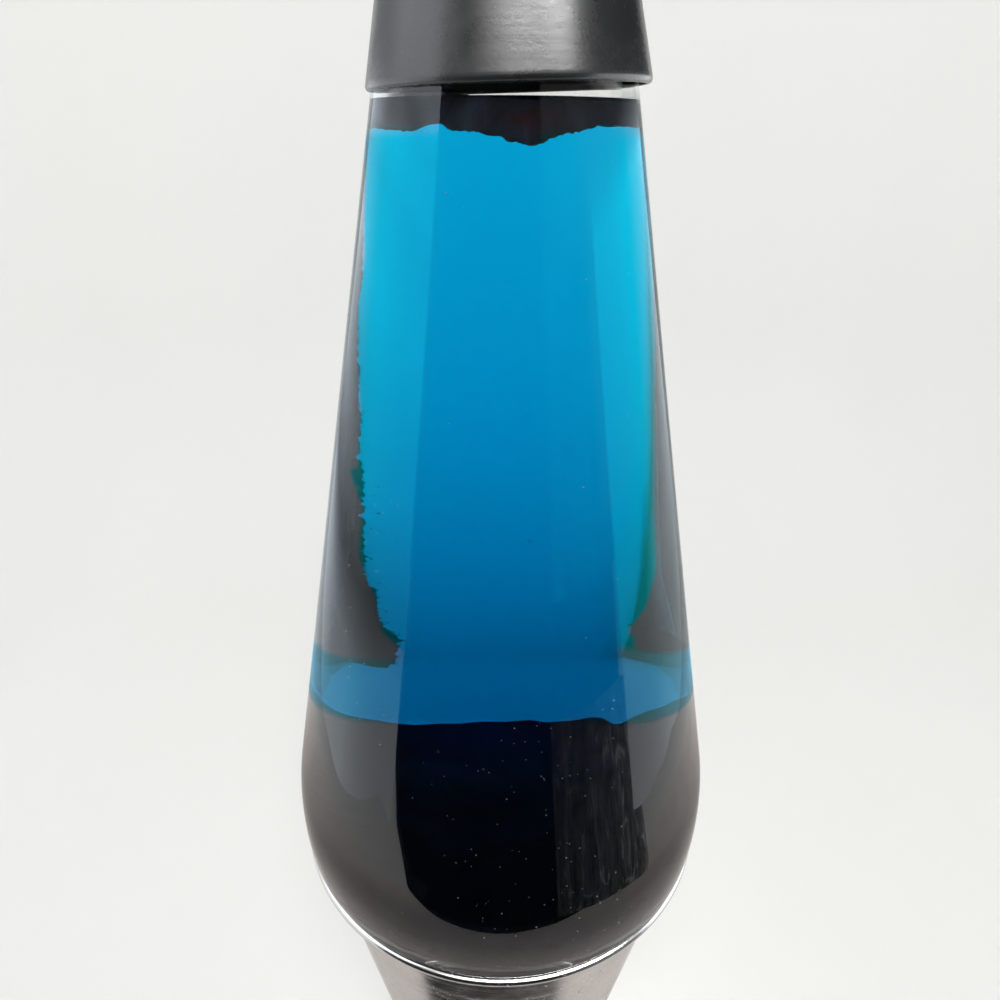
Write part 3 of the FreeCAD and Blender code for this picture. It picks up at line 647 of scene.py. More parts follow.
def smear_wax(name):
    """A thin smear on the glass: blue-grey where it thins out."""
    a = Mat(name).put(IOR=1.10)
    thin = a.noise(1.0, 6.0, 0.62, a.scaled(120.0, 120.0, 55.0), 0.6)
    fine = a.noise(700.0, 4.0, 0.6)
    col = a.mix(a.ramp(thin, [(0.34, 0.0), (0.70, 1.0)]), (0.012, 0.017, 0.024), (0.050, 0.085, 0.105))
    a.color(a.mix(a.ramp(fine, [(0.60, 0.0), (0.75, 0.5)]), col, (0.085, 0.105, 0.120)))
    a.rough(a.between(thin, 0.35, 0.55))
    a.bump(thin, 0.2, 0.0003)
    return a.m


def haze_wax(name, edge):
    """A milky veil beside a smear: it fades out towards the front. edge: (height above the rim in mm, degrees from straight back)."""
    a = Mat(name).put(IOR=1.10)
    s = a.n("ShaderNodeSeparateXYZ")
    a.l(a.pos(), s.inputs[0])
    ang = a.math("MULTIPLY", a.math("ARCTAN2", a.math("ABSOLUTE", s.outputs[0]), s.outputs[1]), 1.0 / math.pi)
    h = a.math("MULTIPLY", a.math("SUBTRACT", s.outputs[2], 0.175), 5.0)
    at = a.ramp(h, [(z / 200.0, deg / 180.0) for z, deg in edge])
    veil = a.noise(1.0, 5.0, 0.6, a.scaled(150.0, 150.0, 60.0), 0.8)
    fine = a.noise(800.0, 4.0, 0.6)
    away = a.math("MULTIPLY", a.math("SUBTRACT", ang, at), 18.0)
    near = a.math("SUBTRACT", 1.0, away, True)
    alpha = a.math("MULTIPLY", near, a.math("ADD", 0.35, veil))
    alpha = a.math("MULTIPLY", a.math("MULTIPLY", alpha, near), 0.85, True)
    a.l(alpha, a.b.inputs["Alpha"])
    a.color(a.mix(a.ramp(veil, [(0.34, 0.0), (0.70, 1.0)]), (0.065, 0.235, 0.31), (0.095, 0.29, 0.36)))
    a.rough(a.between(fine, 0.45, 0.65))
    a.bump(veil, 0.1, 0.0003)
    return a.m


def cap_paint(name):
    """Satin black paint on a spun cone: orange peel, faint rub marks."""
    a = Mat(name).put(Specular_IOR_Level=0.84, Coat_Weight=0.0)
    peel = a.noise(1300.0, 2.0, 0.45)
    rings = a.noise(1.0, 3.0, 0.55, a.turned(700.0, 700.0, 0.5))
    rub = a.noise(1.0, 5.0, 0.6, a.turned(60.0, 130.0, 2.6), 0.5)
    mottle = a.noise(420.0, 4.0, 0.6, None, 0.4)
    dust = a.noise(3200.0, 2.0, 0.5)
    col = a.mix(a.ramp(rub, [(0.45, 0.0), (0.85, 1.0)]), (0.0120, 0.0123, 0.0135), (0.022, 0.0225, 0.0245))
    col = a.mix(a.ramp(dust, [(0.735, 0.0), (0.76, 0.75)]), col, (0.16, 0.16, 0.165))
    a.color(col)
    r = a.between(rub, 0.20, 0.27)
    r = a.math("ADD", r, a.math("MULTIPLY", mottle, 0.05))
    a.rough(a.math("ADD", r, a.math("MULTIPLY", peel, 0.03)))
    first = a.bump(rings, 0.05, 0.00025)
    second = a.bump(mottle, 0.10, 0.00018, first)
    a.bump(peel, 0.14, 0.00006, second)
    return a.m


def cap_inside(name):
    """The bare inside of the cap, with paint that has drifted in over its edge."""
    a = Mat(name).put(Metallic=0.75)
    fine = a.noise(1.0, 3.0, 0.6, a.turned(3200.0, 3200.0, 0.8))
    drift = a.noise(900.0, 5.0, 0.7)
    s = a.n("ShaderNodeSeparateXYZ")
    a.l(a.pos(), s.inputs[0])
    h = a.math("SUBTRACT", s.outputs[2], 0.3650)
    low = a.math("SUBTRACT", 1.0, a.math("MULTIPLY", h, 42.0), True)
    mask = a.math("ADD", a.math("MULTIPLY", low, 0.9), a.math("MULTIPLY", drift, 0.35), True)
    col = a.mix(a.ramp(mask, [(0.25, 0.0), (0.85, 1.0)]), (0.33, 0.33, 0.335), (0.055, 0.056, 0.060))
    a.color(a.mix(a.math("MULTIPLY", fine, 0.3), col, (0.20, 0.20, 0.20)))
    a.rough(a.between(drift, 0.34, 0.52))
    a.bump(fine, 0.12, 0.00005)
    return a.m


def plain_noisy(name, base, alt, rough, bump, scale=600.0, metallic=0.0, strength=0.2, **put):
    a = Mat(name).put(Metallic=metallic, **put)
    big = a.noise(scale / 9.0, 5.0, 0.6, None, 0.4)
    fine = a.noise(scale, 4.0, 0.6)
    a.color(a.mix(a.ramp(big, [(0.35, 0.0), (0.72, 1.0)]), base, alt))
    a.rough(a.math("ADD", a.between(big, rough[0], rough[1]), a.math("MULTIPLY", fine, 0.05)))
    a.bump(fine, strength, bump)
    return a.m


M = {
    "aluminium": aluminium(),
    "grommet_rubber": rubber("grommet_rubber_v"),
    "pad_rubber": rubber("pad_rubber_v", (0.030, 0.029, 0.028)),
    "cover_fibre": fibre("cover_fibre_v"),
    "plated_steel": steel("plated_steel_v"),
    "rivet_aluminium": aluminium("rivet_aluminium_v", 0.24, 0.38, 0.92),
    "socket_phenolic": phenolic("socket_phenolic_v"),
    "socket_brass": brass("socket_brass_v", 0.65),
    "contact_brass": brass("contact_brass_v", 0.40, 0.20, 0.34, (0.80, 0.62, 0.33)),
    "screw_brass": brass("screw_brass_v", 0.55),
    "screw_steel": steel("screw_steel_v", (0.58, 0.58, 0.60), (0.46, 0.45, 0.42), 0.22, 0.36, 700.0),
    "solder": plain_noisy("solder_v", (0.55, 0.55, 0.57), (0.40, 0.40, 0.42), (0.22, 0.42), 0.0002, 900.0, 1.0, 0.35),
    "black_glass": plain_noisy("black_glass_v", (0.006, 0.006, 0.009), (0.015, 0.013, 0.018), (0.05, 0.16), 0.0001, 500.0, 0.0, 0.12),
    "bulb_brass": brass("bulb_brass_v", 0.45, 0.16, 0.34),
    "bulb_glass": lamp_glass("bulb_clear_glass_v"),
    "stem_glass": lamp_glass("stem_glass_v", (0.95, 0.97, 0.96), 0.10),
    "lead_wire": plain_noisy("lead_wire_v", (0.60, 0.56, 0.52), (0.48, 0.40, 0.34), (0.25, 0.42), 0.00004, 2600.0, 1.0, 0.2),
    "tungsten": plain_noisy("tungsten_v", (0.30, 0.30, 0.31), (0.18, 0.18, 0.19), (0.30, 0.50), 0.00003, 4200.0, 1.0, 0.25),
    "glass": globe_glass("globe_glass_dry", 1.52),
    "glass_wet": globe_glass("globe_glass_wet", 1.130, 0.04),
    "tinplate": plain_noisy("tinplate_v", (0.66, 0.66, 0.65), (0.52, 0.50, 0.47), (0.20, 0.38), 0.00005, 1500.0, 1.0, 0.2),
    "liner": plain_noisy("liner_v", (0.50, 0.49, 0.45), (0.38, 0.36, 0.32), (0.45, 0.62), 0.00008, 1200.0),
    "spring_wire": steel("spring_wire_v", (0.42, 0.42, 0.43), (0.30, 0.29, 0.28), 0.22, 0.36, 1500.0),
    "wax": black_wax("black_wax_v", back_light=1.0),
    "wax_slab": slab_wax("black_wax_slab_v"),
    "wax_smear": smear_wax("black_wax_smear_v"),
    "wax_skin": black_wax("black_wax_skin_v", (0.30, 0.5), 1.6, 0.35, 1.5),
    "fleck": plain_noisy("pale_fleck_v", (0.86, 0.87, 0.86), (0.62, 0.64, 0.64), (0.5, 0.7), 0.00003, 5000.0),
    "cap": cap_paint("cap_paint_v"),
    "cap_in": cap_inside("cap_inside_v"),
}


def fluid(name, ior, tint, wave):
    """Dyed water: light is lost along its path, mostly red. Its side face is painted darker towards the bottom:
    painted shade.
    """
    a = Mat(name).put(Base_Color=(*tint, 1.0), Transmission_Weight=1.0, IOR=ior, Roughness=0.0)
    if wave:
        ripple = a.noise(160.0, 2.0, 0.5)
        a.bump(ripple, wave, 0.0002)
    else:
        cloud = a.noise(18.0, 3.0, 0.5)
        col = a.mix(a.ramp(cloud, [(0.35, 0.0), (0.7, 1.0)]), tint, (tint[0] * 0.94, tint[1] * 0.985, tint[2] * 0.995))
        s = a.n("ShaderNodeSeparateXYZ")
        a.l(a.pos(), s.inputs[0])
        h = a.math("MULTIPLY", a.math("SUBTRACT", s.outputs[2], 0.175), 5.0)
        # painted shade: the side face darkens towards the bottom, for the lamp's shadow on the floor behind, seen
        # through the liquid
        a.color(a.mix(1.0, col, a.ramp(h, [(0.03, 0.40), (0.25, 0.62), (0.31, 0.67), (0.44, 0.78), (0.56, 0.86), (0.67, 0.90), (0.80, 0.97), (0.92, 1.0)]), "MULTIPLY"))
    v = a.n("ShaderNodeVolumeAbsorption")
    v.inputs["Color"].default_value = (0.0, 0.840, 0.945, 1.0)
    v.inputs["Density"].default_value = 62.0
    a.l(v.outputs[0], a.out.inputs["Volume"])
    return a.m


M["fluid_side"] = fluid("blue_liquid_side", 1.0, (0.04, 0.72, 0.985), 0.0)
M["fluid_top"] = fluid("blue_liquid_top", 1.345, (1.0, 1.0, 1.0), 0.05)

# CAD nodes that keep their own shape
KEEP = {
    "cord_grommet": "grommet_rubber", "bottom_cover": "cover_fibre", "foot_pads": "pad_rubber", "socket_bracket": "plated_steel",
    "waist_rivets": "rivet_aluminium", "socket_body": "socket_phenolic", "centre_contact": "contact_brass", "terminal_screws": "screw_brass",
    "socket_screws": "screw_steel", "bulb_tip_contact": "solder", "bulb_insulator": "black_glass", "bulb_glass": "bulb_glass",
    "bulb_stem": "stem_glass", "bulb_leads": "lead_wire", "crown_closure": "tinplate", "closure_liner": "liner",
}
for node, mat in KEEP.items():
    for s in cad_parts[node].material_slots:
        s.material = M[mat]

# ------------------------------------------------------------------ base: spun cup and foot
BEAD_MID, BEAD_Z = RIM_R - BEAD_R * 0.87, RIM_Z + 0.59
flare_z = RIM_Z - 4.9
cup_line = [(WAIST_OPEN_R, WAIST_Z), (cup_r(WAIST_Z), WAIST_Z), (cup_r(flare_z), flare_z), (RIM_R - BEAD_R * 1.2, RIM_Z - 0.35)]
cup_inner = offset_line(cup_line, SHEET)
outer = rounded(cup_line, {1: WAIST_CORNER, 2: 6.0}, False, 5.0)
inner = rounded(cup_inner, {1: WAIST_CORNER - SHEET, 2: 5.0}, False, 5.0)
bead_c = (BEAD_MID, BEAD_Z)
p_out = meets(outer[-2], outer[-1], bead_c, BEAD_R)
p_in = meets(inner[-2], inner[-1], bead_c, BEAD_R)
a_out = math.atan2(p_out[1] - BEAD_Z, p_out[0] - BEAD_MID)
a_in = math.atan2(p_in[1] - BEAD_Z, p_in[0] - BEAD_MID)
while a_in < a_out:
    a_in += 2 * math.pi
outline = divided(outer[:-1] + [p_out], 6.0) + turn_from(bead_c, BEAD_R, a_out, a_in, 7.5)[1:] + divided(list(reversed(inner[:-1])), 6.0)
cup = lathe("base_cup", outline, "base", [M["aluminium"]], 288)

foot_line = [(FOOT_R, FOOT_Z), (cup_r(WAIST_Z), WAIST_Z), (WAIST_OPEN_R, WAIST_Z)]
foot_inner = offset_line(foot_line, SHEET)
outer = list(reversed(rounded(foot_line, {1: WAIST_CORNER}, False, 5.0)))
inner = rounded(foot_inner, {1: WAIST_CORNER - SHEET}, False, 5.0)
fb_c, fb_r = (FOOT_R - 0.35, FOOT_Z - 0.3), 1.3
p_out = meets(outer[-2], outer[-1], fb_c, fb_r)
a_out = math.atan2(p_out[1] - fb_c[1], p_out[0] - fb_c[0])
a_low = -math.pi / 2 - math.asin(math.sqrt(fb_r ** 2 - 1.15 ** 2) / fb_r)
lip = [(51.5, 1.15), (51.5, 2.15)]
a_lip = math.atan2(2.15 - fb_c[1], -math.sqrt(fb_r ** 2 - (2.15 - fb_c[1]) ** 2))
p_in = meets(inner[1], inner[0], fb_c, fb_r)
a_in = math.atan2(p_in[1] - fb_c[1], p_in[0] - fb_c[0])
outline = divided(outer[:-1] + [p_out], 6.0) + turn_from(fb_c, fb_r, a_out, a_low, 7.5)[1:] + lip
outline += turn_from(fb_c, fb_r, a_lip + (2 * math.pi if a_lip < 0 else 0), a_in + (2 * math.pi if a_in < 0 else 0), 7.5)
outline += divided([p_in] + inner[1:], 6.0)[1:]
foot = lathe("base_foot", outline, "base", [M["aluminium"]], 288)


def drill(o, holes):
    """Round holes through a turned sheet: (middle, direction, radius, length), in mm."""
    verts, faces = [], []
    for c, d, r, l in holes:
        d = Vector(d).normalized()
        u = d.orthogonal().normalized()
        w = d.cross(u)
        k = len(verts)
        for e in (-0.5, 0.5):
            for i in range(48):
                a = 2 * math.pi * i / 48
                verts.append(tuple(Vector(c) + d * l * e + (u * math.cos(a) + w * math.sin(a)) * r))
        faces += [(k + i, k + (i + 1) % 48, k + 48 + (i + 1) % 48, k + 48 + i) for i in range(48)]
        faces += [tuple(reversed(range(k, k + 48))), tuple(range(k + 48, k + 96))]
    cutter = finish_mesh("cutter", verts, faces, None, [M["aluminium"]], None, 30.0)
    md = o.modifiers.new("holes", "BOOLEAN")
    md.operation, md.object, md.solver = "DIFFERENCE", cutter, "EXACT"
    bpy.context.view_layer.update()
    me = bpy.data.meshes.new_from_object(o.evaluated_get(bpy.context.evaluated_depsgraph_get()))
    o.modifiers.clear()
    o.data = me
    bpy.data.objects.remove(cutter)
    me.shade_smooth()
    me.set_sharp_from_angle(angle=math.radians(30.0))


rivet_at = [(27.3, 0), (-27.3, 0), (0, 27.3), (0, -27.3)]
drill(cup, [((x, y, WAIST_Z), (0, 0, 1), 1.66, 8.0) for x, y in rivet_at])
tilt = math.atan2(FOOT_R - cup_r(WAIST_Z), WAIST_Z - FOOT_Z)
inlet_y = FOOT_R + (cup_r(WAIST_Z) - FOOT_R) * (17.0 - FOOT_Z) / (WAIST_Z - FOOT_Z)
drill(foot, [((x, y, WAIST_Z), (0, 0, 1), 1.66, 8.0) for x, y in rivet_at] + [((0, inlet_y, 17.0), (0, math.cos(tilt), math.sin(tilt)), 5.62, 12.0)])
for o, node in ((cup, "base_upper_cone"), (foot, "base_lower_cone")):
    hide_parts(node)

# ------------------------------------------------------------------ globe
ct, cc = math.cos(math.atan(TAPER_K)), math.cos(math.atan(CONE_K))


def on_heel(b, r=HEEL_R):
    return (HEEL_C[0] + r * math.cos(b), HEEL_C[1] - r * math.sin(b))


def globe_outer():
    zb = GLOBE_BOTTOM_Z
    rp = math.sqrt(160.0 ** 2 - 158.6 ** 2)
    pts = turn_from((0.0, zb - 158.6), 160.0, math.pi / 2, math.atan2(158.6, rp), 0.8)
    low = bend((0.0, zb), (taper_r(zb), zb), (taper_r(RIM_Z), RIM_Z), 7.0, 5.0)
    pts += divided([pts[-1]] + low, 6.0)[1:]
    b62 = math.radians(62.0)
    hp = on_heel(b62)
    d = (math.sin(b62), math.cos(b62))
    s = (hp[0] - TAPER_R - TAPER_K * (hp[1] - RIM_Z)) / (d[0] - TAPER_K * d[1])
    knee = (hp[0] - d[0] * s, hp[1] - d[1] * s)
    k = bend(low[-1], knee, (hp[0] + d[0] * 20, hp[1] + d[1] * 20), 4.0, 4.0)
    pts += divided([pts[-1]] + k, 6.0)[1:]
    b0 = math.radians(6.2)
    h0 = on_heel(b0)
    pts += swing(HEEL_C, hp, h0, 2.5)
    zm = (h0[1] + WIDE_Z) / 2
    pts += through(h0, (WIDE_R - (WIDE_Z - zm) ** 2 / 160.0, zm), (WIDE_R, WIDE_Z), 0.6)[1:]
    rho = (CONE_Z0 - WIDE_Z) / math.sin(math.atan(CONE_K))
    zm = (WIDE_Z + CONE_Z0) / 2
    pts += through((WIDE_R, WIDE_Z), (WIDE_R - rho + math.sqrt(rho ** 2 - (zm - WIDE_Z) ** 2), zm), (cone_r(CONE_Z0), CONE_Z0), 0.8)[1:]
    zt = CONE_TOP_Z
    sh = [(cone_r(CONE_Z0), CONE_Z0), (cone_r(zt + 3.2), zt + 3.2), (NECK_R, zt + 5.0), (NECK_R, LIP_Z)]
    s1 = bend(sh[0], sh[1], sh[2], 5.0, 5.0)
    pts += divided([pts[-1]] + s1, 8.0)[1:]
    pts += bend(s1[-1], sh[2], sh[3], 2.6, 6.0)
    pts += [(NECK_R, LIP_Z), (LIP_R, LIP_Z + 1.1)]
    pts += turn_from((LIP_R - 1.6, GLOBE_TOP_Z - 1.6), 1.6, 0.0, math.pi / 2, 9.0)
    return [(r * 0.9992, z) for r, z in pts]


def inner_line(gap=0.0):
    t = GLASS_T + gap
    zb, zt = GLOBE_BOTTOM_Z + 5.0 + gap, CONE_TOP_Z
    pts = [(0.0, zb), (taper_r(zb) - t / ct, zb), (taper_r(RIM_Z - 1.2) - t / ct, RIM_Z - 1.2), (WIDE_R - t - 0.35, RIM_Z + 6.6), (WIDE_R - t, WIDE_Z),
           (WIDE_R - t - 0.36, WIDE_Z + 8.0), (cone_r(CONE_Z0) - t / cc, CONE_Z0), (cone_r(zt + 0.6) - t / cc, zt + 0.6), (MOUTH_R - gap, zt + 3.4), (MOUTH_R - gap, GLOBE_TOP_Z)]
    rr = {1: 5.0, 2: 6.0, 3: 4.0, 4: 40.0, 5: 60.0, 6: 60.0, 7: 3.0, 8: 2.5}
    out = [pts[0]]
    for i in range(1, len(pts) - 1):
        out += bend(pts[i - 1], pts[i], pts[i + 1], rr[i], 3.0 if rr[i] < 10 else 0.5)
    return out + [pts[-1]]


def dedupe(pts, eps=1e-4):
    out = [pts[0]]
    for p in pts[1:]:
        if math.hypot(p[0] - out[-1][0], p[1] - out[-1][1]) > eps:
            out.append(p)
    return out


wall = dedupe(inner_line())
WET_Z = LIQUID_Z + MENISCUS


def wall_r(z):
    """Inside radius of the globe at a height, on its side."""
    best = None
    for (r0, z0), (r1, z1) in zip(wall, wall[1:]):
        if z0 < z <= z1 or (z1 > z0 and abs(z - z0) < 1e-9):
            best = r0 + (r1 - r0) * (z - z0) / (z1 - z0)
            break
    return best if best is not None else wall[1][0]


def split_at(pts, z):
    out = []
    for a, b in zip(pts, pts[1:]):
        out.append(a)
        if a[1] < z < b[1]:
            out.append((a[0] + (b[0] - a[0]) * (z - a[1]) / (b[1] - a[1]), z))
    return out + [pts[-1]]


inside = list(reversed(divided(split_at(wall, WET_Z), 8.0)))
outline = dedupe(globe_outer() + inside)
turn_at = max(range(len(outline)), key=lambda i: outline[i][1] - outline[i][0] * 0.0001 if outline[i][0] < LIP_R else -1)
n_out = len(dedupe(globe_outer()))
marks = []
for k in range(len(outline) - 1):
    a, b = outline[k], outline[k + 1]
    marks.append(1 if (k >= n_out and max(a[1], b[1]) <= WET_Z + 1e-6) else 0)
marks_at = {(outline[k], outline[k + 1]): marks[k] for k in range(len(marks))}
globe = lathe("globe_bottle", outline, "globe", [M["glass"], M["glass_wet"]], 384, False, lambda p, q: marks_at[(p, q)], None, 50.0)
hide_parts("globe_glass")

# ------------------------------------------------------------------ fluid
FLUID_GAP, SKIN_GAP, WAX_GAP, TIGHT = 0.04, 0.07, 0.08, 0.016
z_foot = RIM_Z - 12.0
side = []
z = z_foot
while z < RIM_Z + 31.0:
    side.append((wall_r(z) - FLUID_GAP, z))
    z += 1.0
while z < WET_Z - 6.0:
    side.append((wall_r(z) - FLUID_GAP, z))
    z += 6.0
side.append((wall_r(WET_Z) - FLUID_GAP, WET_Z))
r_edge = side[-1][0]
top = []
for i in range(1, 41):
    d = 0.06 * (1.18 ** i) if i < 30 else 0.06 * (1.18 ** 30) * (1 + (i - 29) * 0.2)
    if d >= r_edge:
        break
    top.append((r_edge - d, LIQUID_Z + MENISCUS * math.exp(-d / 1.15)))
top.append((0.0, LIQUID_Z))
outline = dedupe([(0.0, z_foot)] + side + top)
n_side = 1 + len(side)
slot_of = {(outline[k], outline[k + 1]): (0 if k < n_side - 1 else 1) for k in range(len(outline) - 1)}
liq = lathe("blue_fluid", outline, "globe", [M["fluid_side"], M["fluid_top"]], 384, False, lambda p, q: slot_of[(p, q)], None, 30.0)
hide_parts("liquid")

# ------------------------------------------------------------------ settled wax
WAX_BACK = [(-180, 4.9), (-120, 5.3), (-80, 5.1), (-45, 5.3), (-23, 5.4), (-21.8, 5.5), (-19.3, 5.1), (-15.9, 4.6), (-11.7, 5.0), (-7.4, 4.9), (-3, 5.5), (1.5, 5.3), (5.9, 6.0),
            (8.2, 5.4), (12.3, 5.9), (14.4, 6.3), (16.3, 7.3), (18.2, 6.9), (20, 5.2), (21.4, 5.3), (22.4, 6.8), (23, 8.0), (30, 7.4), (45, 5.8), (80, 5.0), (120, 5.5), (180, 4.9)]


def wax_edge(az):
    """Height of the settled wax at the wall, az in degrees from straight back, + towards +X."""
    a = math.radians(az)
    return RIM_Z + table(az, WAX_BACK) + 0.16 * nz(math.cos(a) * 9, math.sin(a) * 9, 3.0)


low = [p for p in dedupe(inner_line(WAX_GAP)) if p[1] < RIM_Z + 2.0]
low = list(reversed(divided(low, 7.0)))
cols = []
SEG = 320
for i in range(SEG):
    th = 2 * math.pi * i / SEG
    az = math.degrees(math.atan2(math.cos(th), math.sin(th)))
    ze = wax_edge(az)
    re = wall_r(ze) - WAX_GAP
    col = []
    for k in range(27):
        u = k / 26.0
        f = math.sin(u * math.pi / 2) if u < 1 else 1.0
        r = re * f
        x, y = r * math.cos(th), r * math.sin(th)
        mid = RIM_Z + 3.6 + 1.1 * nz(x * 0.035, y * 0.035, 1.0) + 0.45 * nz(x * 0.14, y * 0.14, 5.0)
        zt = mid + (ze - mid) * smooth((r - re * 0.72) / (re * 0.28)) if r > re * 0.72 else mid
        col.append((x, y, zt))
    for k in range(1, 5):
        z = ze + (low[0][1] - ze) * k / 5.0
        r = wall_r(z) - WAX_GAP
        col.append((r * math.cos(th), r * math.sin(th), z))
    for r, z in low:
        col.append((r * math.cos(th), r * math.sin(th), z))
    cols.append(col)
wax = columns("wax_settled", cols, "globe", [M["wax"]])
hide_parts("wax_mass")

# ------------------------------------------------------------------ floating slab
SLAB_LOW = [(-180, 182.4), (-90, 182.6), (-61, 182.4), (-50, 182.2), (-40.5, 182.0), (-36, 182.5), (-32.4, 183.0), (-28.6, 183.2), (-24.9, 182.9), (-21.4, 182.3), (-17.9, 182.0),
            (-14.5, 182.0), (-11.1, 181.8), (-7.8, 181.7), (-4.5, 181.4), (-1.2, 181.1), (2.0, 180.7), (5.3, 180.3), (8.6, 179.75), (10.6, 179.6), (13.6, 180.2), (18.8, 181.2), (22.3, 181.5),
            (25.8, 181.9), (29.5, 182.2), (33.4, 182.4), (37.4, 182.9), (41.6, 183.2), (48, 183.3), (56, 182.9), (63, 182.8), (90, 182.6), (180, 182.4)]
SLAB_TOP = [(-180, 186.9), (-120, 187.3), (-90, 187.6), (-61, 187.8), (-47, 187.95), (-36, 187.95), (-22, 187.6), (-10, 187.35), (0, 187.0), (6, 186.9), (40, 186.85), (90, 186.8), (180, 186.9)]
cols = []
SEG = 420
for i in range(SEG):
    th = 2 * math.pi * i / SEG
    az = math.degrees(math.atan2(math.cos(th), -math.sin(th)))
    c, s = math.cos(th), math.sin(th)
    front = smooth((100.0 - abs(az)) / 40.0)
    tear = 0.30 * nz(c * 14, s * 14, 0.5, 6) + 0.16 * nz(c * 60, s * 60, 2.5, 3)
    zl = RIM_Z + table(az, SLAB_LOW) + tear * (0.75 + 0.25 * front)
    zh = RIM_Z + table(az, SLAB_TOP) + 0.10 * nz(c * 20, s * 20, 7.0)
    ztop = RIM_Z + 186.85
    col = []
    rl = wall_r(zl) - TIGHT
    for k in range(15):
        f = math.sin(k / 14.0 * math.pi / 2)
        r = rl * f
        base = RIM_Z + 183.0 + 0.9 * nz(r * c * 0.12, r * s * 0.12, 3.0)
        w = smooth((f - 0.80) / 0.20)
        col.append((r * c, r * s, base + (zl - base) * w))
    for k in range(1, 8):
        z = zl + (zh - zl) * k / 7.0
        r = wall_r(z) - TIGHT
        col.append((r * c, r * s, z))
    thin = 0.35
    rh = wall_r(zh) - WAX_GAP - thin
    lift = max(0.0, zh - ztop)
    col.append((rh * c, rh * s, zh - 0.05))
    for k in range(1, 4):
        z = zh - 0.05 - lift * k / 3.0
        r = wall_r(z) - WAX_GAP - thin - 0.5 * (k / 3.0) ** 2 * (1.0 if lift > 0 else 0.0)
        col.append((r * c, r * s, z))
    r_in, z_in = math.hypot(col[-1][0], col[-1][1]), col[-1][2]
    for k in range(1, 13):
        f = 1.0 - k / 12.0
        r = r_in * f
        z = ztop - 0.10 + 0.12 * nz(r * c * 0.2, r * s * 0.2, 9.0)
        w = smooth(k / 3.0)
        col.append((r * c, r * s, z_in + (z - z_in) * w))
    cols.append(col)
slab = columns("wax_float", cols, "globe", [M["wax_slab"]], True, 50.0)
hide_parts("wax_slab")

# ------------------------------------------------------------------ skins of wax on the glass
LEFT_EDGE = [(24, 16.5), (28, 18.4), (32, 18.9), (37, 18.7), (42, 21.9), (51, 23.1), (58, 24.6), (62, 26.0), (70, 26.6), (85, 28.1), (97, 29.7), (105, 31.2),
             (120, 33.4), (140, 36.5), (155, 40.0)]
RIGHT_EDGE = [(23, 25.4), (31, 24.1), (36, 24.1), (40, 24.8), (43, 23.1), (46, 25.2), (50, 26.3), (55, 29.0), (61, 31.5), (70, 34.0), (87, 36.0), (103, 38.0), (117, 40.0), (140, 44.0)]
LEFT_NEAR = [(60, 113), (77, 120), (91, 125), (101, 127), (112, 128), (116, 127.4), (118.5, 121.5), (120.5, 122.5), (122.5, 126.5), (124, 127), (131, 125.2), (134, 124.2), (137, 122.5), (141, 119), (145, 117.2), (152, 113.6), (156, 116.0), (160, 114.5), (167, 109.7), (173, 107.0)]
RIGHT_NEAR = [(60, 112), (77, 118), (88, 122), (95, 124.5), (101, 124.2), (112, 122.6), (122, 119.8), (133, 117.0), (145, 113.2), (152, 110.7), (160, 106.5), (168, 102.5), (172, 101.0)]


def skin(name, edge_a, edge_b, z0, z1, sign, seed, ragged, streak, full, gap=SKIN_GAP, mat="wax_skin"):
    """A thin skin on the inside of the glass. edge_a, edge_b: (height, degrees from straight back) of its two sides;
    ragged: how far each side wanders; full: its thickness."""
    rows, across = int((z1 - z0(0.0)) / 0.30), 56
    grid = []
    for j in range(rows + 1):
        v = j / rows
        line = []
        for i in range(across + 1):
            w = i / across
            u = w ** 1.25 if ragged[0] > ragged[1] else 1.0 - (1.0 - w) ** 1.25
            lo = z0(u) + 1.6 * nz(u * 9 + seed, 0.3, seed, 5)
            hi = z1 - 5.0 * u * (ragged[0] > ragged[1]) + 1.6 * nz(u * 6 + seed, 4.0, seed, 4)
            z = lo + (hi - lo) * v
            shake = 0.55 * nz(z * 0.16, seed, 0.0, 5) + 0.35 * nz(z * 0.75, seed + 5.0, 0.0, 4)
            comb = streak * max(0.0, nz(z * 2.3, seed + 9.0, 0.0, 3)) * smooth((78.0 - z) / 12.0)
            a_in = table(z, edge_a) + ragged[0] * shake - comb
            a_out = table(z, edge_b) + ragged[1] * (1.3 * nz(z * 0.16, seed + 20.0, 0.0, 6) + 1.9 * nz(z * 0.8, seed + 31.0, 0.0, 5))
            tip = smooth(v / 0.03) * smooth((1 - v) / 0.05)
            a_in = a_in + (1 - tip) * (2.5 if ragged[0] > ragged[1] else 0.0)
            a_out = a_out - (1 - tip) * (2.5 if ragged[1] > ragged[0] else 0.0)
            az = math.radians(a_in + (a_out - a_in) * u) * sign
            e = min(1.0, u / 0.12) * min(1.0, (1 - u) / 0.1) * min(1.0, v / 0.03) * min(1.0, (1 - v) / 0.03)
            t = 0.035 + (full + 0.10 * nz(az * 9, z * 0.12, seed)) * smooth(e)
            r = wall_r(RIM_Z + z) - gap
            line.append((az, RIM_Z + z, r, max(0.03, t)))
        grid.append(line)
    verts, faces = [], []
    w = across + 1
    for face in (0, 1):
        for line in grid:
            for az, z, r, t in line:
                q = r - (t if face else 0.0)
                verts.append((q * math.sin(az), q * math.cos(az), z))
    k = (rows + 1) * w
    for j in range(rows):
        for i in range(across):
            a = j * w + i
            faces.append((a, a + 1, a + w + 1, a + w))
            faces.append((k + a, k + a + w, k + a + w + 1, k + a + 1))
    for j in range(rows):
        for i in (0, across):
            a, b = j * w + i, (j + 1) * w + i
            faces.append((a, b, k + b, k + a))
    for i in range(across):
        for j in (0, rows):
            a = j * w + i
            faces.append((a, a + 1, k + a + 1, k + a))
    return finish_mesh(name, verts, faces, "globe", [M[mat] if isinstance(mat, str) else mat], None, 60.0)


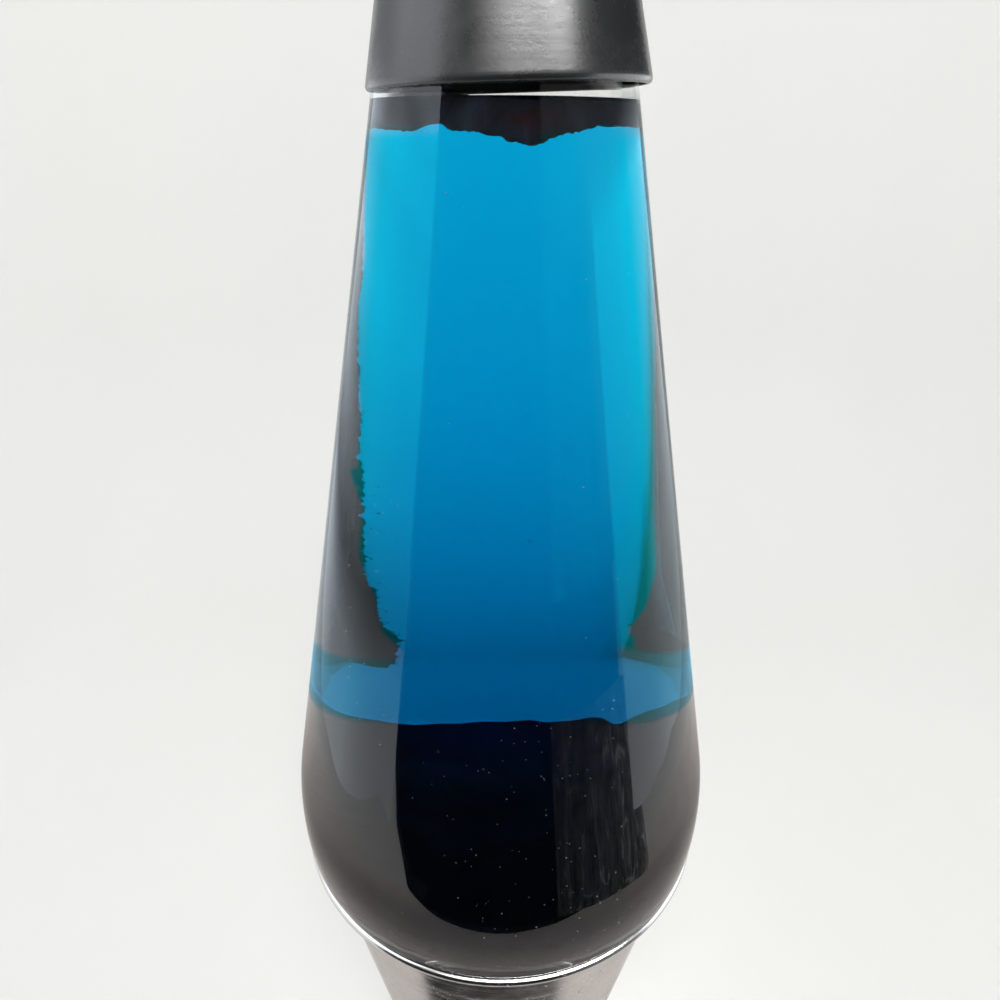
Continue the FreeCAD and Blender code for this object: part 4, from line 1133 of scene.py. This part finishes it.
side = [(0, 100.0), (200, 100.0)]
skin_l = skin("wax_skin_left", LEFT_EDGE, side, lambda u: 25.4 + 14.0 * u * u, 155.0, -1, 11.0, (1.3, 0.0), 1.5, 0.34)
skin_r = skin("wax_skin_right", RIGHT_EDGE, side, lambda u: 24.6 + 14.0 * u * u, 140.0, 1, 23.0, (0.8, 0.0), 0.5, 0.34)
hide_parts("wax_film_left")
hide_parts("wax_film_right")
# the thinner smears that carry on from them, round the sides of the glass
side = [(0, 99.0), (140, 99.0), (155, 96.0), (176, 90.0)]
for label, near, top, sign, seed in (("left", LEFT_NEAR, 172.0, -1, 41.0), ("right", RIGHT_NEAR, 168.0, 1, 57.0)):
    skin("wax_smear_" + label, side, near, lambda u: 58.0 + 16.0 * u, top, sign, seed, (0.0, 1.5 if sign < 0 else 0.7), 0.0, 0.16, TIGHT, "wax_smear")

veil = skin("wax_veil_right", [(z, d - 1.0) for z, d in RIGHT_NEAR], [(z, d + 9.5) for z, d in RIGHT_NEAR], lambda u: 76.0 + 6.0 * u, 170.0, 1, 71.0, (0.0, 0.6), 0.0, 0.10, TIGHT,
            haze_wax("milky_veil", [(z, d) for z, d in RIGHT_NEAR if z in (60, 77, 95, 101, 112, 133, 152, 160, 172)]))


# loose crumbs: dark ones beside the skins, pale ones afloat
def crumbs(name, places, mat):
    verts, faces = [], []
    for (x, y, z), size, flat in places:
        bm = bmesh.new()
        bmesh.ops.create_icosphere(bm, subdivisions=1, radius=1.0)
        n = Vector((x, y, 0)).normalized()
        t = Vector((-n.y, n.x, 0))
        k = len(verts)
        for v in bm.verts:
            q = v.co * (1.0 + 0.45 * nz(v.co.x * 1.7 + x, v.co.y * 1.7 + y, v.co.z * 1.7 + z, 2))
            p = Vector((x, y, z)) + n * q.x * size * flat + t * q.y * size + Vector((0, 0, 1)) * q.z * size * (0.6 + 0.8 * abs(nz(x, y, z, 1)))
            verts.append(tuple(p))
        faces += [tuple(k + v.index for v in f.verts) for f in bm.faces]
        bm.free()
    o = finish_mesh(name, verts, faces, "globe", [mat], None, 60.0)
    return o


places = []
for i in range(90):
    sign, edge, near, zmin, zmax = (-1, LEFT_EDGE, LEFT_NEAR, 24, 150) if i % 3 else (1, RIGHT_EDGE, RIGHT_NEAR, 24, 140)
    z = rnd.uniform(zmin, zmax)
    if z > 95:
        az = math.radians(table(z, near) + abs(rnd.gauss(0, 2.2)) + 0.3) * sign
    else:
        az = math.radians(table(z, edge) - abs(rnd.gauss(0, 1.2)) - 0.2) * sign
    size = rnd.uniform(0.06, 0.24)
    r = wall_r(RIM_Z + z) - SKIN_GAP - size * 0.4
    places.append(((r * math.sin(az), r * math.cos(az), RIM_Z + z), size, 0.35))
crumbs("wax_crumbs", places, M["wax_skin"])
places = []
for i in range(200):
    if i < 112:
        z, az = 12 + 60 * rnd.random() ** 1.1, rnd.gauss(6, 20)
    elif i < 150:
        z, az = rnd.uniform(60, 120), -rnd.uniform(30, 66)
    else:
        z, az = rnd.uniform(60, 182), rnd.uniform(-66, 66)
    a = math.radians(az)
    size = rnd.choice((0.08, 0.09, 0.11, 0.13, 0.16, 0.20))
    r = wall_r(RIM_Z + z) - 0.012 - size * 0.2
    places.append(((r * math.sin(a), -r * math.cos(a), RIM_Z + z), size, 0.2))
crumbs("pale_crumbs", places, M["fleck"])

# ------------------------------------------------------------------ coil in the wax
COIL_Z, COIL_MID, COIL_R, WIRE = GLOBE_BOTTOM_Z + 8.4, 27.0, 2.6, 0.35
pts = []
TURNS, PER = 58, 18
for i in range(TURNS * PER):
    a = 2 * math.pi * i / (TURNS * PER)
    b = 2 * math.pi * i / PER
    rr = COIL_MID + (COIL_R - WIRE) * math.cos(b)
    pts.append((rr * math.cos(a), rr * math.sin(a), COIL_Z + (COIL_R - WIRE) * math.sin(b)))
v, f = tube(pts, WIRE, 8, True)
coil = finish_mesh("spring_coil", v, f, "globe", [M["spring_wire"]], None, 60.0)
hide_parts("wire_coil")

# ------------------------------------------------------------------ cap
lean = Matrix.Rotation(math.radians(-CAP_LEAN[0]), 3, "Y") @ Matrix.Rotation(math.radians(CAP_LEAN[1]), 3, "X")
seat = Vector((0, 0, CAP_SEAT_Z))


class Place:
    def __matmul__(self, v):
        return seat + lean @ (v - seat)


def cap_r(z):
    return CAP_SEAT_R - CAP_K * (z - CAP_SEAT_Z)


cap_top = CAP_EDGE_Z + CAP_H - 0.02
wall_t = CAP_T / math.cos(math.atan(CAP_K))
top_out = bend((0.0, cap_top), (cap_r(cap_top) + wall_t, cap_top), (cap_r(CAP_EDGE_Z) + wall_t, CAP_EDGE_Z), 4.0, 4.0)
top_in = bend((0.0, cap_top - CAP_T), (cap_r(cap_top - CAP_T), cap_top - CAP_T), (cap_r(CAP_EDGE_Z), CAP_EDGE_Z), 3.2, 5.0)
z_curl = CAP_EDGE_Z + 1.3
ro = cap_r(z_curl) + wall_t
curl = [(ro, z_curl)]
for i in range(1, 10):
    t = i / 9.0
    curl.append((ro + 0.18 * t - 0.95 * t ** 2.2, z_curl - 1.02 * math.sin(t * math.pi / 2) - 0.1 * t))
er, ez = curl[-1]
hem = [(er - 0.10, ez - 0.02), (er - 0.24, ez + 0.06), (er - 0.30, ez + 0.24), (er - 0.22, ez + 0.46)]
back = [(cap_r(z_curl) - 0.02, z_curl - 0.15), (cap_r(z_curl + 0.6), z_curl + 0.6)]
dome = [(0.0, cap_top), (6.0, cap_top)]
outline = [(0.0, cap_top)] + divided([(4.0, cap_top)] + top_out, 5.0) + divided([top_out[-1], (cap_r(z_curl + 0.5) + wall_t, z_curl + 0.5)], 5.0)[1:] + curl + hem + back
outline += divided([back[-1], top_in[-1]], 5.0)[1:] + list(reversed(top_in))[1:] + [(4.0, cap_top - CAP_T), (0.0, cap_top - CAP_T)]
outline = dedupe(outline)
i_hem = outline.index(hem[1])
part_of = {(outline[k], outline[k + 1]): (0 if k < i_hem else 1) for k in range(len(outline) - 1)}
cap = lathe("cap_cone", outline, "cap", [M["cap"], M["cap_in"]], 320, False, lambda p, q: part_of[(p, q)], Place(), 40.0)
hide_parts("top_cap")

# ------------------------------------------------------------------ threads of the bulb and its socket
PITCH = 2.822


def thread(name, body, z0, z1, inner_fn, outer_fn, mat):
    per, seg = 22, 96
    rows = int((z1 - z0) / PITCH * per)
    cols = []
    for i in range(seg):
        th = 2 * math.pi * i / seg
        col = []
        for j in range(rows + 1):
            z = z0 + (z1 - z0) * j / rows
            r = outer_fn(th, z)
            col.append((r * math.cos(th), r * math.sin(th), z))
        for j in range(rows, -1, -1):
            z = z0 + (z1 - z0) * j / rows
            r = inner_fn(th, z)
            col.append((r * math.cos(th), r * math.sin(th), z))
        col.append(col[0])
        cols.append(col)
    verts, faces = [], []
    k = len(cols[0]) - 1
    for c in cols:
        verts += c[:-1]
    for i in range(seg):
        for j in range(k):
            a, b = i * k + j, i * k + (j + 1) % k
            c, d = ((i + 1) % seg) * k + (j + 1) % k, ((i + 1) % seg) * k + j
            faces.append((a, b, c, d))
    return finish_mesh(name, verts, faces, body, [mat], None, 50.0)


def crest(th, z):
    return 0.5 + 0.5 * math.cos(2 * math.pi * (z / PITCH - th / (2 * math.pi)))


def fade(z, a, b, w=2.2):
    return smooth((z - a) / w) * smooth((b - z) / w)


def shell_out(th, z):
    return 7.83 + 0.27 * crest(th, z) * fade(z, 25.2, 38.4)


def sock_in(th, z):
    return 8.20 - 0.27 * (1 - crest(th, z)) * fade(z, 22.8, 36.9)


t1 = thread("bulb_thread", "bulb", 25.0, 38.6, lambda t, z: shell_out(t, z) - 0.2, shell_out, M["bulb_brass"])
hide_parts("bulb_screw_shell")
t2 = thread("socket_thread", "base", 22.5, 37.2, sock_in, lambda t, z: sock_in(t, z) + 0.3, M["socket_brass"])
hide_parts("socket_shell")

# filament: one coil along the bow between the leads
FIL_Z, sag = 64.1, 1.9
pts = []
n = 46 * 12
rho = (5.6 ** 2 + sag ** 2) / (2 * sag)
for i in range(n + 1):
    u = i / n
    x = -5.6 + 11.2 * u
    zc = FIL_Z + sag - rho + math.sqrt(rho ** 2 - x ** 2)
    slope = -x / math.sqrt(rho ** 2 - x ** 2)
    tx, tz = 1 / math.hypot(1, slope), slope / math.hypot(1, slope)
    b = 2 * math.pi * i / 12
    q = 0.36 * math.cos(b)
    pts.append((x - tz * q, 0.36 * math.sin(b), zc + tx * q))
v, f = tube(pts, 0.075, 6)
fil = finish_mesh("filament_coil", v, f, "bulb", [M["tungsten"]], None, 60.0)
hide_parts("bulb_filament")

# ------------------------------------------------------------------ floor and backdrop
def stage_mesh(name, verts, faces, mat, smooth_it=False):
    me = bpy.data.meshes.new(name)
    me.from_pydata(verts, [], faces)
    me.materials.append(mat)
    if smooth_it:
        me.shade_smooth()
    o = bpy.data.objects.new(name, me)
    scene.collection.objects.link(o)
    return o


paper = Mat("backdrop_paper")
tone = paper.noise(1.6, 3.0, 0.5)
grain = paper.noise(900.0, 3.0, 0.6)
col = paper.mix(paper.ramp(tone, [(0.3, 0.0), (0.7, 1.0)]), (0.893, 0.890, 0.872), (0.878, 0.878, 0.866))
paper.color(col)
paper.put(Specular_IOR_Level=0.15)
paper.rough(paper.between(grain, 0.7, 0.9))
paper.bump(grain, 0.08, 0.0002)
X = 3.0
prof = [(-3.2, 0.0), (-1.5, 0.0), (-0.5, 0.0), (0.34, 0.0)]
for i in range(1, 25):
    a = math.pi / 2 * i / 24
    prof.append((0.34 + 0.20 * math.sin(a), 0.20 - 0.20 * math.cos(a)))
prof += [(0.54, 0.7), (0.54, 1.9)]
verts = [(x, y, z) for y, z in prof for x in (-X, X)]
faces = [(2 * k, 2 * k + 1, 2 * k + 3, 2 * k + 2) for k in range(len(prof) - 1)]
stage_mesh("backdrop", verts, faces, paper.m, True)

dark = Mat("dark_room")
dn = dark.noise(3.0, 3.0, 0.5)
dark.color(dark.mix(dark.ramp(dn, [(0.3, 0.0), (0.7, 1.0)]), (0.006, 0.0065, 0.008), (0.012, 0.012, 0.013)))
dark.put(Specular_IOR_Level=0.0)


def only_in_gloss(o, through=False):
    o.visible_camera = False
    o.visible_diffuse = False
    o.visible_shadow = False
    o.visible_transmission = through
    o.visible_volume_scatter = False


card = [(-0.13, -0.236), (0.06, -0.238), (0.23, -0.211), (0.41, -0.2), (1.2, -0.5), (1.2, -1.5), (-1.5, -1.5), (-1.2, -0.85), (-0.645, -0.466), (-0.446, -0.314), (-0.308, -0.26), (-0.232, -0.262)]
only_in_gloss(stage_mesh("dark_floor", [(x, y, 0.001) for x, y in card], [tuple(range(len(card)))], dark.m), True)


def floor_sector(name, az0, az1, r0, r1, z, mat, steps=32):
    """A ring sector on the floor in front, seen only in reflections."""
    verts = []
    for i in range(steps + 1):
        az = math.radians(az0 + (az1 - az0) * i / steps)
        w = 0.004 * nz(az * 5.0, r0 * 90.0, 2.0)
        verts += [((r0 + w) * math.sin(az), -(r0 + w) * math.cos(az), z), ((r1 - w) * math.sin(az), -(r1 - w) * math.cos(az), z)]
    only_in_gloss(stage_mesh(name, verts, [(2 * k, 2 * k + 2, 2 * k + 3, 2 * k + 1) for k in range(steps)], mat), True)


# painted shade: a grey card on the floor round the lamp, seen only in reflections and through the glass, darker than
# the pale floor itself
floor_shade_grey = Mat("warm_grey_card")
wg = floor_shade_grey.noise(14.0, 3.0, 0.5)
sep = floor_shade_grey.n("ShaderNodeSeparateXYZ")
floor_shade_grey.l(floor_shade_grey.pos(), sep.inputs[0])
reach = floor_shade_grey.math("SQRT", floor_shade_grey.math("ADD", floor_shade_grey.math("MULTIPLY", sep.outputs[0], sep.outputs[0]), floor_shade_grey.math("MULTIPLY", sep.outputs[1], sep.outputs[1])))
reach = floor_shade_grey.ramp(floor_shade_grey.math("MULTIPLY", reach, 3.0), [(0.38, 1.0), (0.41, 1.45), (0.56, 1.0), (0.70, 0.90), (0.80, 1.05), (0.92, 1.45), (1.0, 1.66)])
wcol = floor_shade_grey.mix(floor_shade_grey.ramp(wg, [(0.3, 0.0), (0.7, 1.0)]), (0.50, 0.455, 0.44), (0.56, 0.52, 0.50))
floor_shade_grey.color(floor_shade_grey.mix(1.0, wcol, reach, "MULTIPLY"))
floor_shade_grey.put(Specular_IOR_Level=0.0, Roughness=0.9)
floor_sector("grey_floor", -150, 150, 0.135, 0.335, 0.0007, floor_shade_grey.m, 64)
# painted contact shadow: a grey ring round the foot, seen only in reflections
floor_sector("foot_contact_shade", -118, 118, 0.0585, 0.125, 0.0005, floor_shade_grey.m, 60)
floor_sector("foot_shade", -56, 44, 0.0585, 0.098, 0.0009, dark.m)


def ring_panel(name, az0, az1, r, z0, z1, mat, steps=28):
    verts = []
    for i in range(steps + 1):
        az = math.radians(az0 + (az1 - az0) * i / steps)
        verts += [(r * math.sin(az), -r * math.cos(az), z0), (r * math.sin(az), -r * math.cos(az), z1)]
    only_in_gloss(stage_mesh(name, verts, [(2 * k, 2 * k + 2, 2 * k + 3, 2 * k + 1) for k in range(steps)], mat), True)


def glow(name, strength):
    return Mat(name).put(Base_Color=(0.0, 0.0, 0.0, 1.0), Specular_IOR_Level=0.0, Emission_Strength=strength)


def lit_wall(name, level, far, tint):
    """A wall seen only in reflections. level: (height in metres, brightness); far: (y in metres, how much of it)."""
    a = glow(name, 5.0)
    s = a.n("ShaderNodeSeparateXYZ")
    a.l(a.pos(), s.inputs[0])
    lum = a.ramp(a.math("MULTIPLY", s.outputs[2], 1.0 / 1.3), [(h / 1.3, v * 0.44) for h, v in level])
    yn = a.math("MULTIPLY", a.math("ADD", s.outputs[1], 0.4), 1.0 / 1.2)
    high = a.math("MULTIPLY", a.math("SUBTRACT", s.outputs[2], 0.435), 28.0, True)
    far = a.mix(high, a.ramp(yn, [((y + 0.4) / 1.2, v) for y, v in far]), a.ramp(yn, [(0.36, 0.45), (0.40, 0.29), (0.50, 0.16), (0.75, 0.11)]))
    a.l(a.mix(1.0, a.mix(1.0, lum, far, "MULTIPLY"), tint, "MULTIPLY"), a.b.inputs["Emission Color"])
    return a.m


def side_wall(name, line, top, mat):
    verts = [(x, y, z) for x, y in line for z in (0.001, top)]
    only_in_gloss(stage_mesh(name, verts, [(2 * k, 2 * k + 1, 2 * k + 3, 2 * k + 2) for k in range(len(line) - 1)], mat))


left_wall = lit_wall("left_wall_glow", [(0.0, 0.60), (0.05, 0.62), (0.10, 0.62), (0.125, 0.42), (0.155, 0.25), (0.19, 0.42), (0.233, 0.66), (0.285, 0.72), (0.346, 1.02), (0.385, 0.80), (0.41, 0.64),
                                        (0.44, 0.95), (0.47, 1.2), (0.50, 1.95), (0.62, 2.2), (1.3, 2.2)],
                     [(-0.17, 0.80), (-0.09, 0.85), (0.0, 1.0), (0.128, 0.80), (0.224, 0.92), (0.50, 1.0)], (0.95, 1.0, 1.04))
side_wall("left_wall", [(-0.37, 0.50), (-0.362, 0.28), (-0.360, 0.146), (-0.373, 0.076), (-0.365, -0.010), (-0.364, -0.120), (-0.368, -0.197), (-0.347, -0.221), (-0.313, -0.236)], 1.3, left_wall)
right_wall = lit_wall("right_wall_glow", [(0.0, 0.55), (0.08, 0.62), (0.15, 0.85), (0.21, 0.95), (0.30, 1.05), (0.405, 1.10), (0.43, 0.45), (0.455, 0.12), (1.3, 0.12)],
                      [(-0.09, 0.87), (0.0, 0.92), (0.061, 1.04), (0.128, 0.96), (0.224, 0.92), (0.50, 1.04)], (0.96, 1.0, 1.03))
side_wall("right_wall", [(0.37, 0.50), (0.360, 0.28), (0.363, 0.149), (0.391, 0.072), (0.384, 0.013), (0.382, -0.046), (0.360, -0.118), (0.353, -0.153)], 1.3, right_wall)

# scuffed, half-lit floor at the right of the front
scuff = glow("scuffed_floor_glow", 2.0)
sep = scuff.n("ShaderNodeSeparateXYZ")
scuff.l(scuff.pos(), sep.inputs[0])
ang = scuff.math("ARCTAN2", sep.outputs[0], scuff.math("MULTIPLY", sep.outputs[1], -1.0))
s1 = scuff.noise(1.0, 4.0, 0.65, scuff.turned(2.5, 1.0, 15.0), 0.7)
s2 = scuff.noise(1.0, 5.0, 0.62, scuff.turned(17.0, 1.0, 13.0), 1.6)
lum = scuff.mix(0.5, scuff.ramp(s1, [(0.36, 0.02), (0.47, 0.16), (0.53, 0.05), (0.60, 0.34)]), scuff.ramp(s2, [(0.42, 0.02), (0.50, 0.14), (0.56, 0.05), (0.64, 0.50)]))
reach = scuff.ramp(scuff.math("MULTIPLY", ang, 1.0 / math.radians(90.0)), [(0.28, 0.30), (0.50, 0.60), (0.66, 0.85), (0.80, 1.0)])
scuff.l(scuff.mix(1.0, lum, reach, "MULTIPLY"), scuff.b.inputs["Emission Color"])
floor_sector("scuffed_floor", 25, 72, 0.275, 0.64, 0.0012, scuff.m, 40)

# the darker front of the room, and the dim stretch to the right of it
ring_panel("dark_front", -58, 29, 1.2, 0.002, 0.95, dark.m)
dim = glow("dim_room_glow", 1.0)
v1 = dim.noise(1.0, 3.0, 0.6, dim.scaled(9.0, 9.0, 0.9), 0.5)
v2 = dim.noise(1.0, 5.0, 0.65, dim.scaled(4.0, 4.0, 5.0), 1.2)
lum = dim.mix(0.35, dim.ramp(v1, [(0.38, 0.03), (0.46, 0.13), (0.52, 0.30), (0.60, 0.12), (0.72, 0.40)]), dim.ramp(v2, [(0.42, 0.02), (0.55, 0.30), (0.62, 0.55)]))
dim.l(dim.mix(1.0, lum, (0.97, 1.0, 1.03), "MULTIPLY"), dim.b.inputs["Emission Color"])
ring_panel("dim_front", 29, 72, 1.15, 0.002, 0.55, dim.m)


def sky_panel(name, az0, az1, el0, el1, level, r=1.3):
    """A soft panel up in front, seen only in reflections. level: (place from 0 to 1 across it, brightness)."""
    a = glow(name, 24.0)
    s = a.n("ShaderNodeSeparateXYZ")
    a.l(a.pos(), s.inputs[0])
    ang = a.math("ARCTAN2", s.outputs[0], a.math("MULTIPLY", s.outputs[1], -1.0))
    u = a.math("MULTIPLY", a.math("SUBTRACT", ang, math.radians(az0)), 1.0 / math.radians(az1 - az0))
    cloth = a.noise(2.6, 2.0, 0.5)
    a.l(a.mix(1.0, a.ramp(u, [(p, v / 24.0) for p, v in level]), a.ramp(cloth, [(0.2, 0.9), (0.8, 1.0)]), "MULTIPLY"), a.b.inputs["Emission Color"])
    n, k = 24, 8
    verts = []
    for i in range(n + 1):
        az = math.radians(az0 + (az1 - az0) * i / n)
        for j in range(k + 1):
            el = math.radians(el0 + (el1 - el0) * j / k)
            verts.append((r * math.cos(el) * math.sin(az), -r * math.cos(el) * math.cos(az), 0.40 + r * math.sin(el)))
    faces = [(i * (k + 1) + j, i * (k + 1) + j + 1, (i + 1) * (k + 1) + j + 1, (i + 1) * (k + 1) + j) for i in range(n) for j in range(k)]
    only_in_gloss(stage_mesh(name, verts, faces, a.m))


sky_panel("left_cloth", -64, -45, 27, 66, [(0.0, 2.4), (1.0, 2.0)])
sky_panel("front_cloth", -28, 56, 29, 66, [(0.0, 1.2), (0.14, 5.0), (0.36, 12.5), (0.70, 13.0), (0.78, 19.0), (0.97, 22.0), (1.0, 22.0)])

# ------------------------------------------------------------------ light
world = bpy.data.worlds.new("world")
scene.world = world
world.use_nodes = True
bg = world.node_tree.nodes["Background"]
bg.inputs["Color"].default_value = (1.0, 0.997, 0.985, 1.0)
bg.inputs["Strength"].default_value = 0.27


def area(name, at, towards, sx, sy, radiance, color=(1.0, 1.0, 1.0), spread=180.0):
    l = bpy.data.lights.new(name, "AREA")
    l.shape = "RECTANGLE"
    l.size, l.size_y = sx, sy
    l.energy = radiance * sx * sy * math.pi
    l.color = color
    l.spread = math.radians(spread)
    o = bpy.data.objects.new(name, l)
    d = (Vector(towards) - Vector(at)).normalized()
    o.rotation_euler = d.to_track_quat("-Z", "Y").to_euler()
    o.location = at
    o.visible_camera = False
    scene.collection.objects.link(o)
    return o


def sky_at(az, el, dist):
    a, e = math.radians(az), math.radians(el)
    return (dist * math.cos(e) * math.sin(a), -dist * math.cos(e) * math.cos(a), 0.40 + dist * math.sin(e))


lamps = [
    area("left_window", (-0.76, 0.04, 0.52), (0.0, 0.04, 0.52), 1.12, 1.10, 0.50),
    area("right_fill", (0.95, -0.05, 0.55), (0.0, 0.0, 0.45), 0.7, 0.9, 0.75),
    area("front_key", sky_at(3, 50, 1.30), (0, 0.10, 0.20), 0.66, 0.62, 11.5),
]
for o in lamps:
    o.visible_glossy = False

scene.view_settings.view_transform = "Standard"
scene.view_settings.look = "None"
scene.view_settings.exposure = 0.0
scene.view_settings.gamma = 1.0
scene.cycles.max_bounces = 28
scene.cycles.transmission_bounces = 26
scene.cycles.glossy_bounces = 8
scene.cycles.diffuse_bounces = 4
scene.cycles.transparent_max_bounces = 8
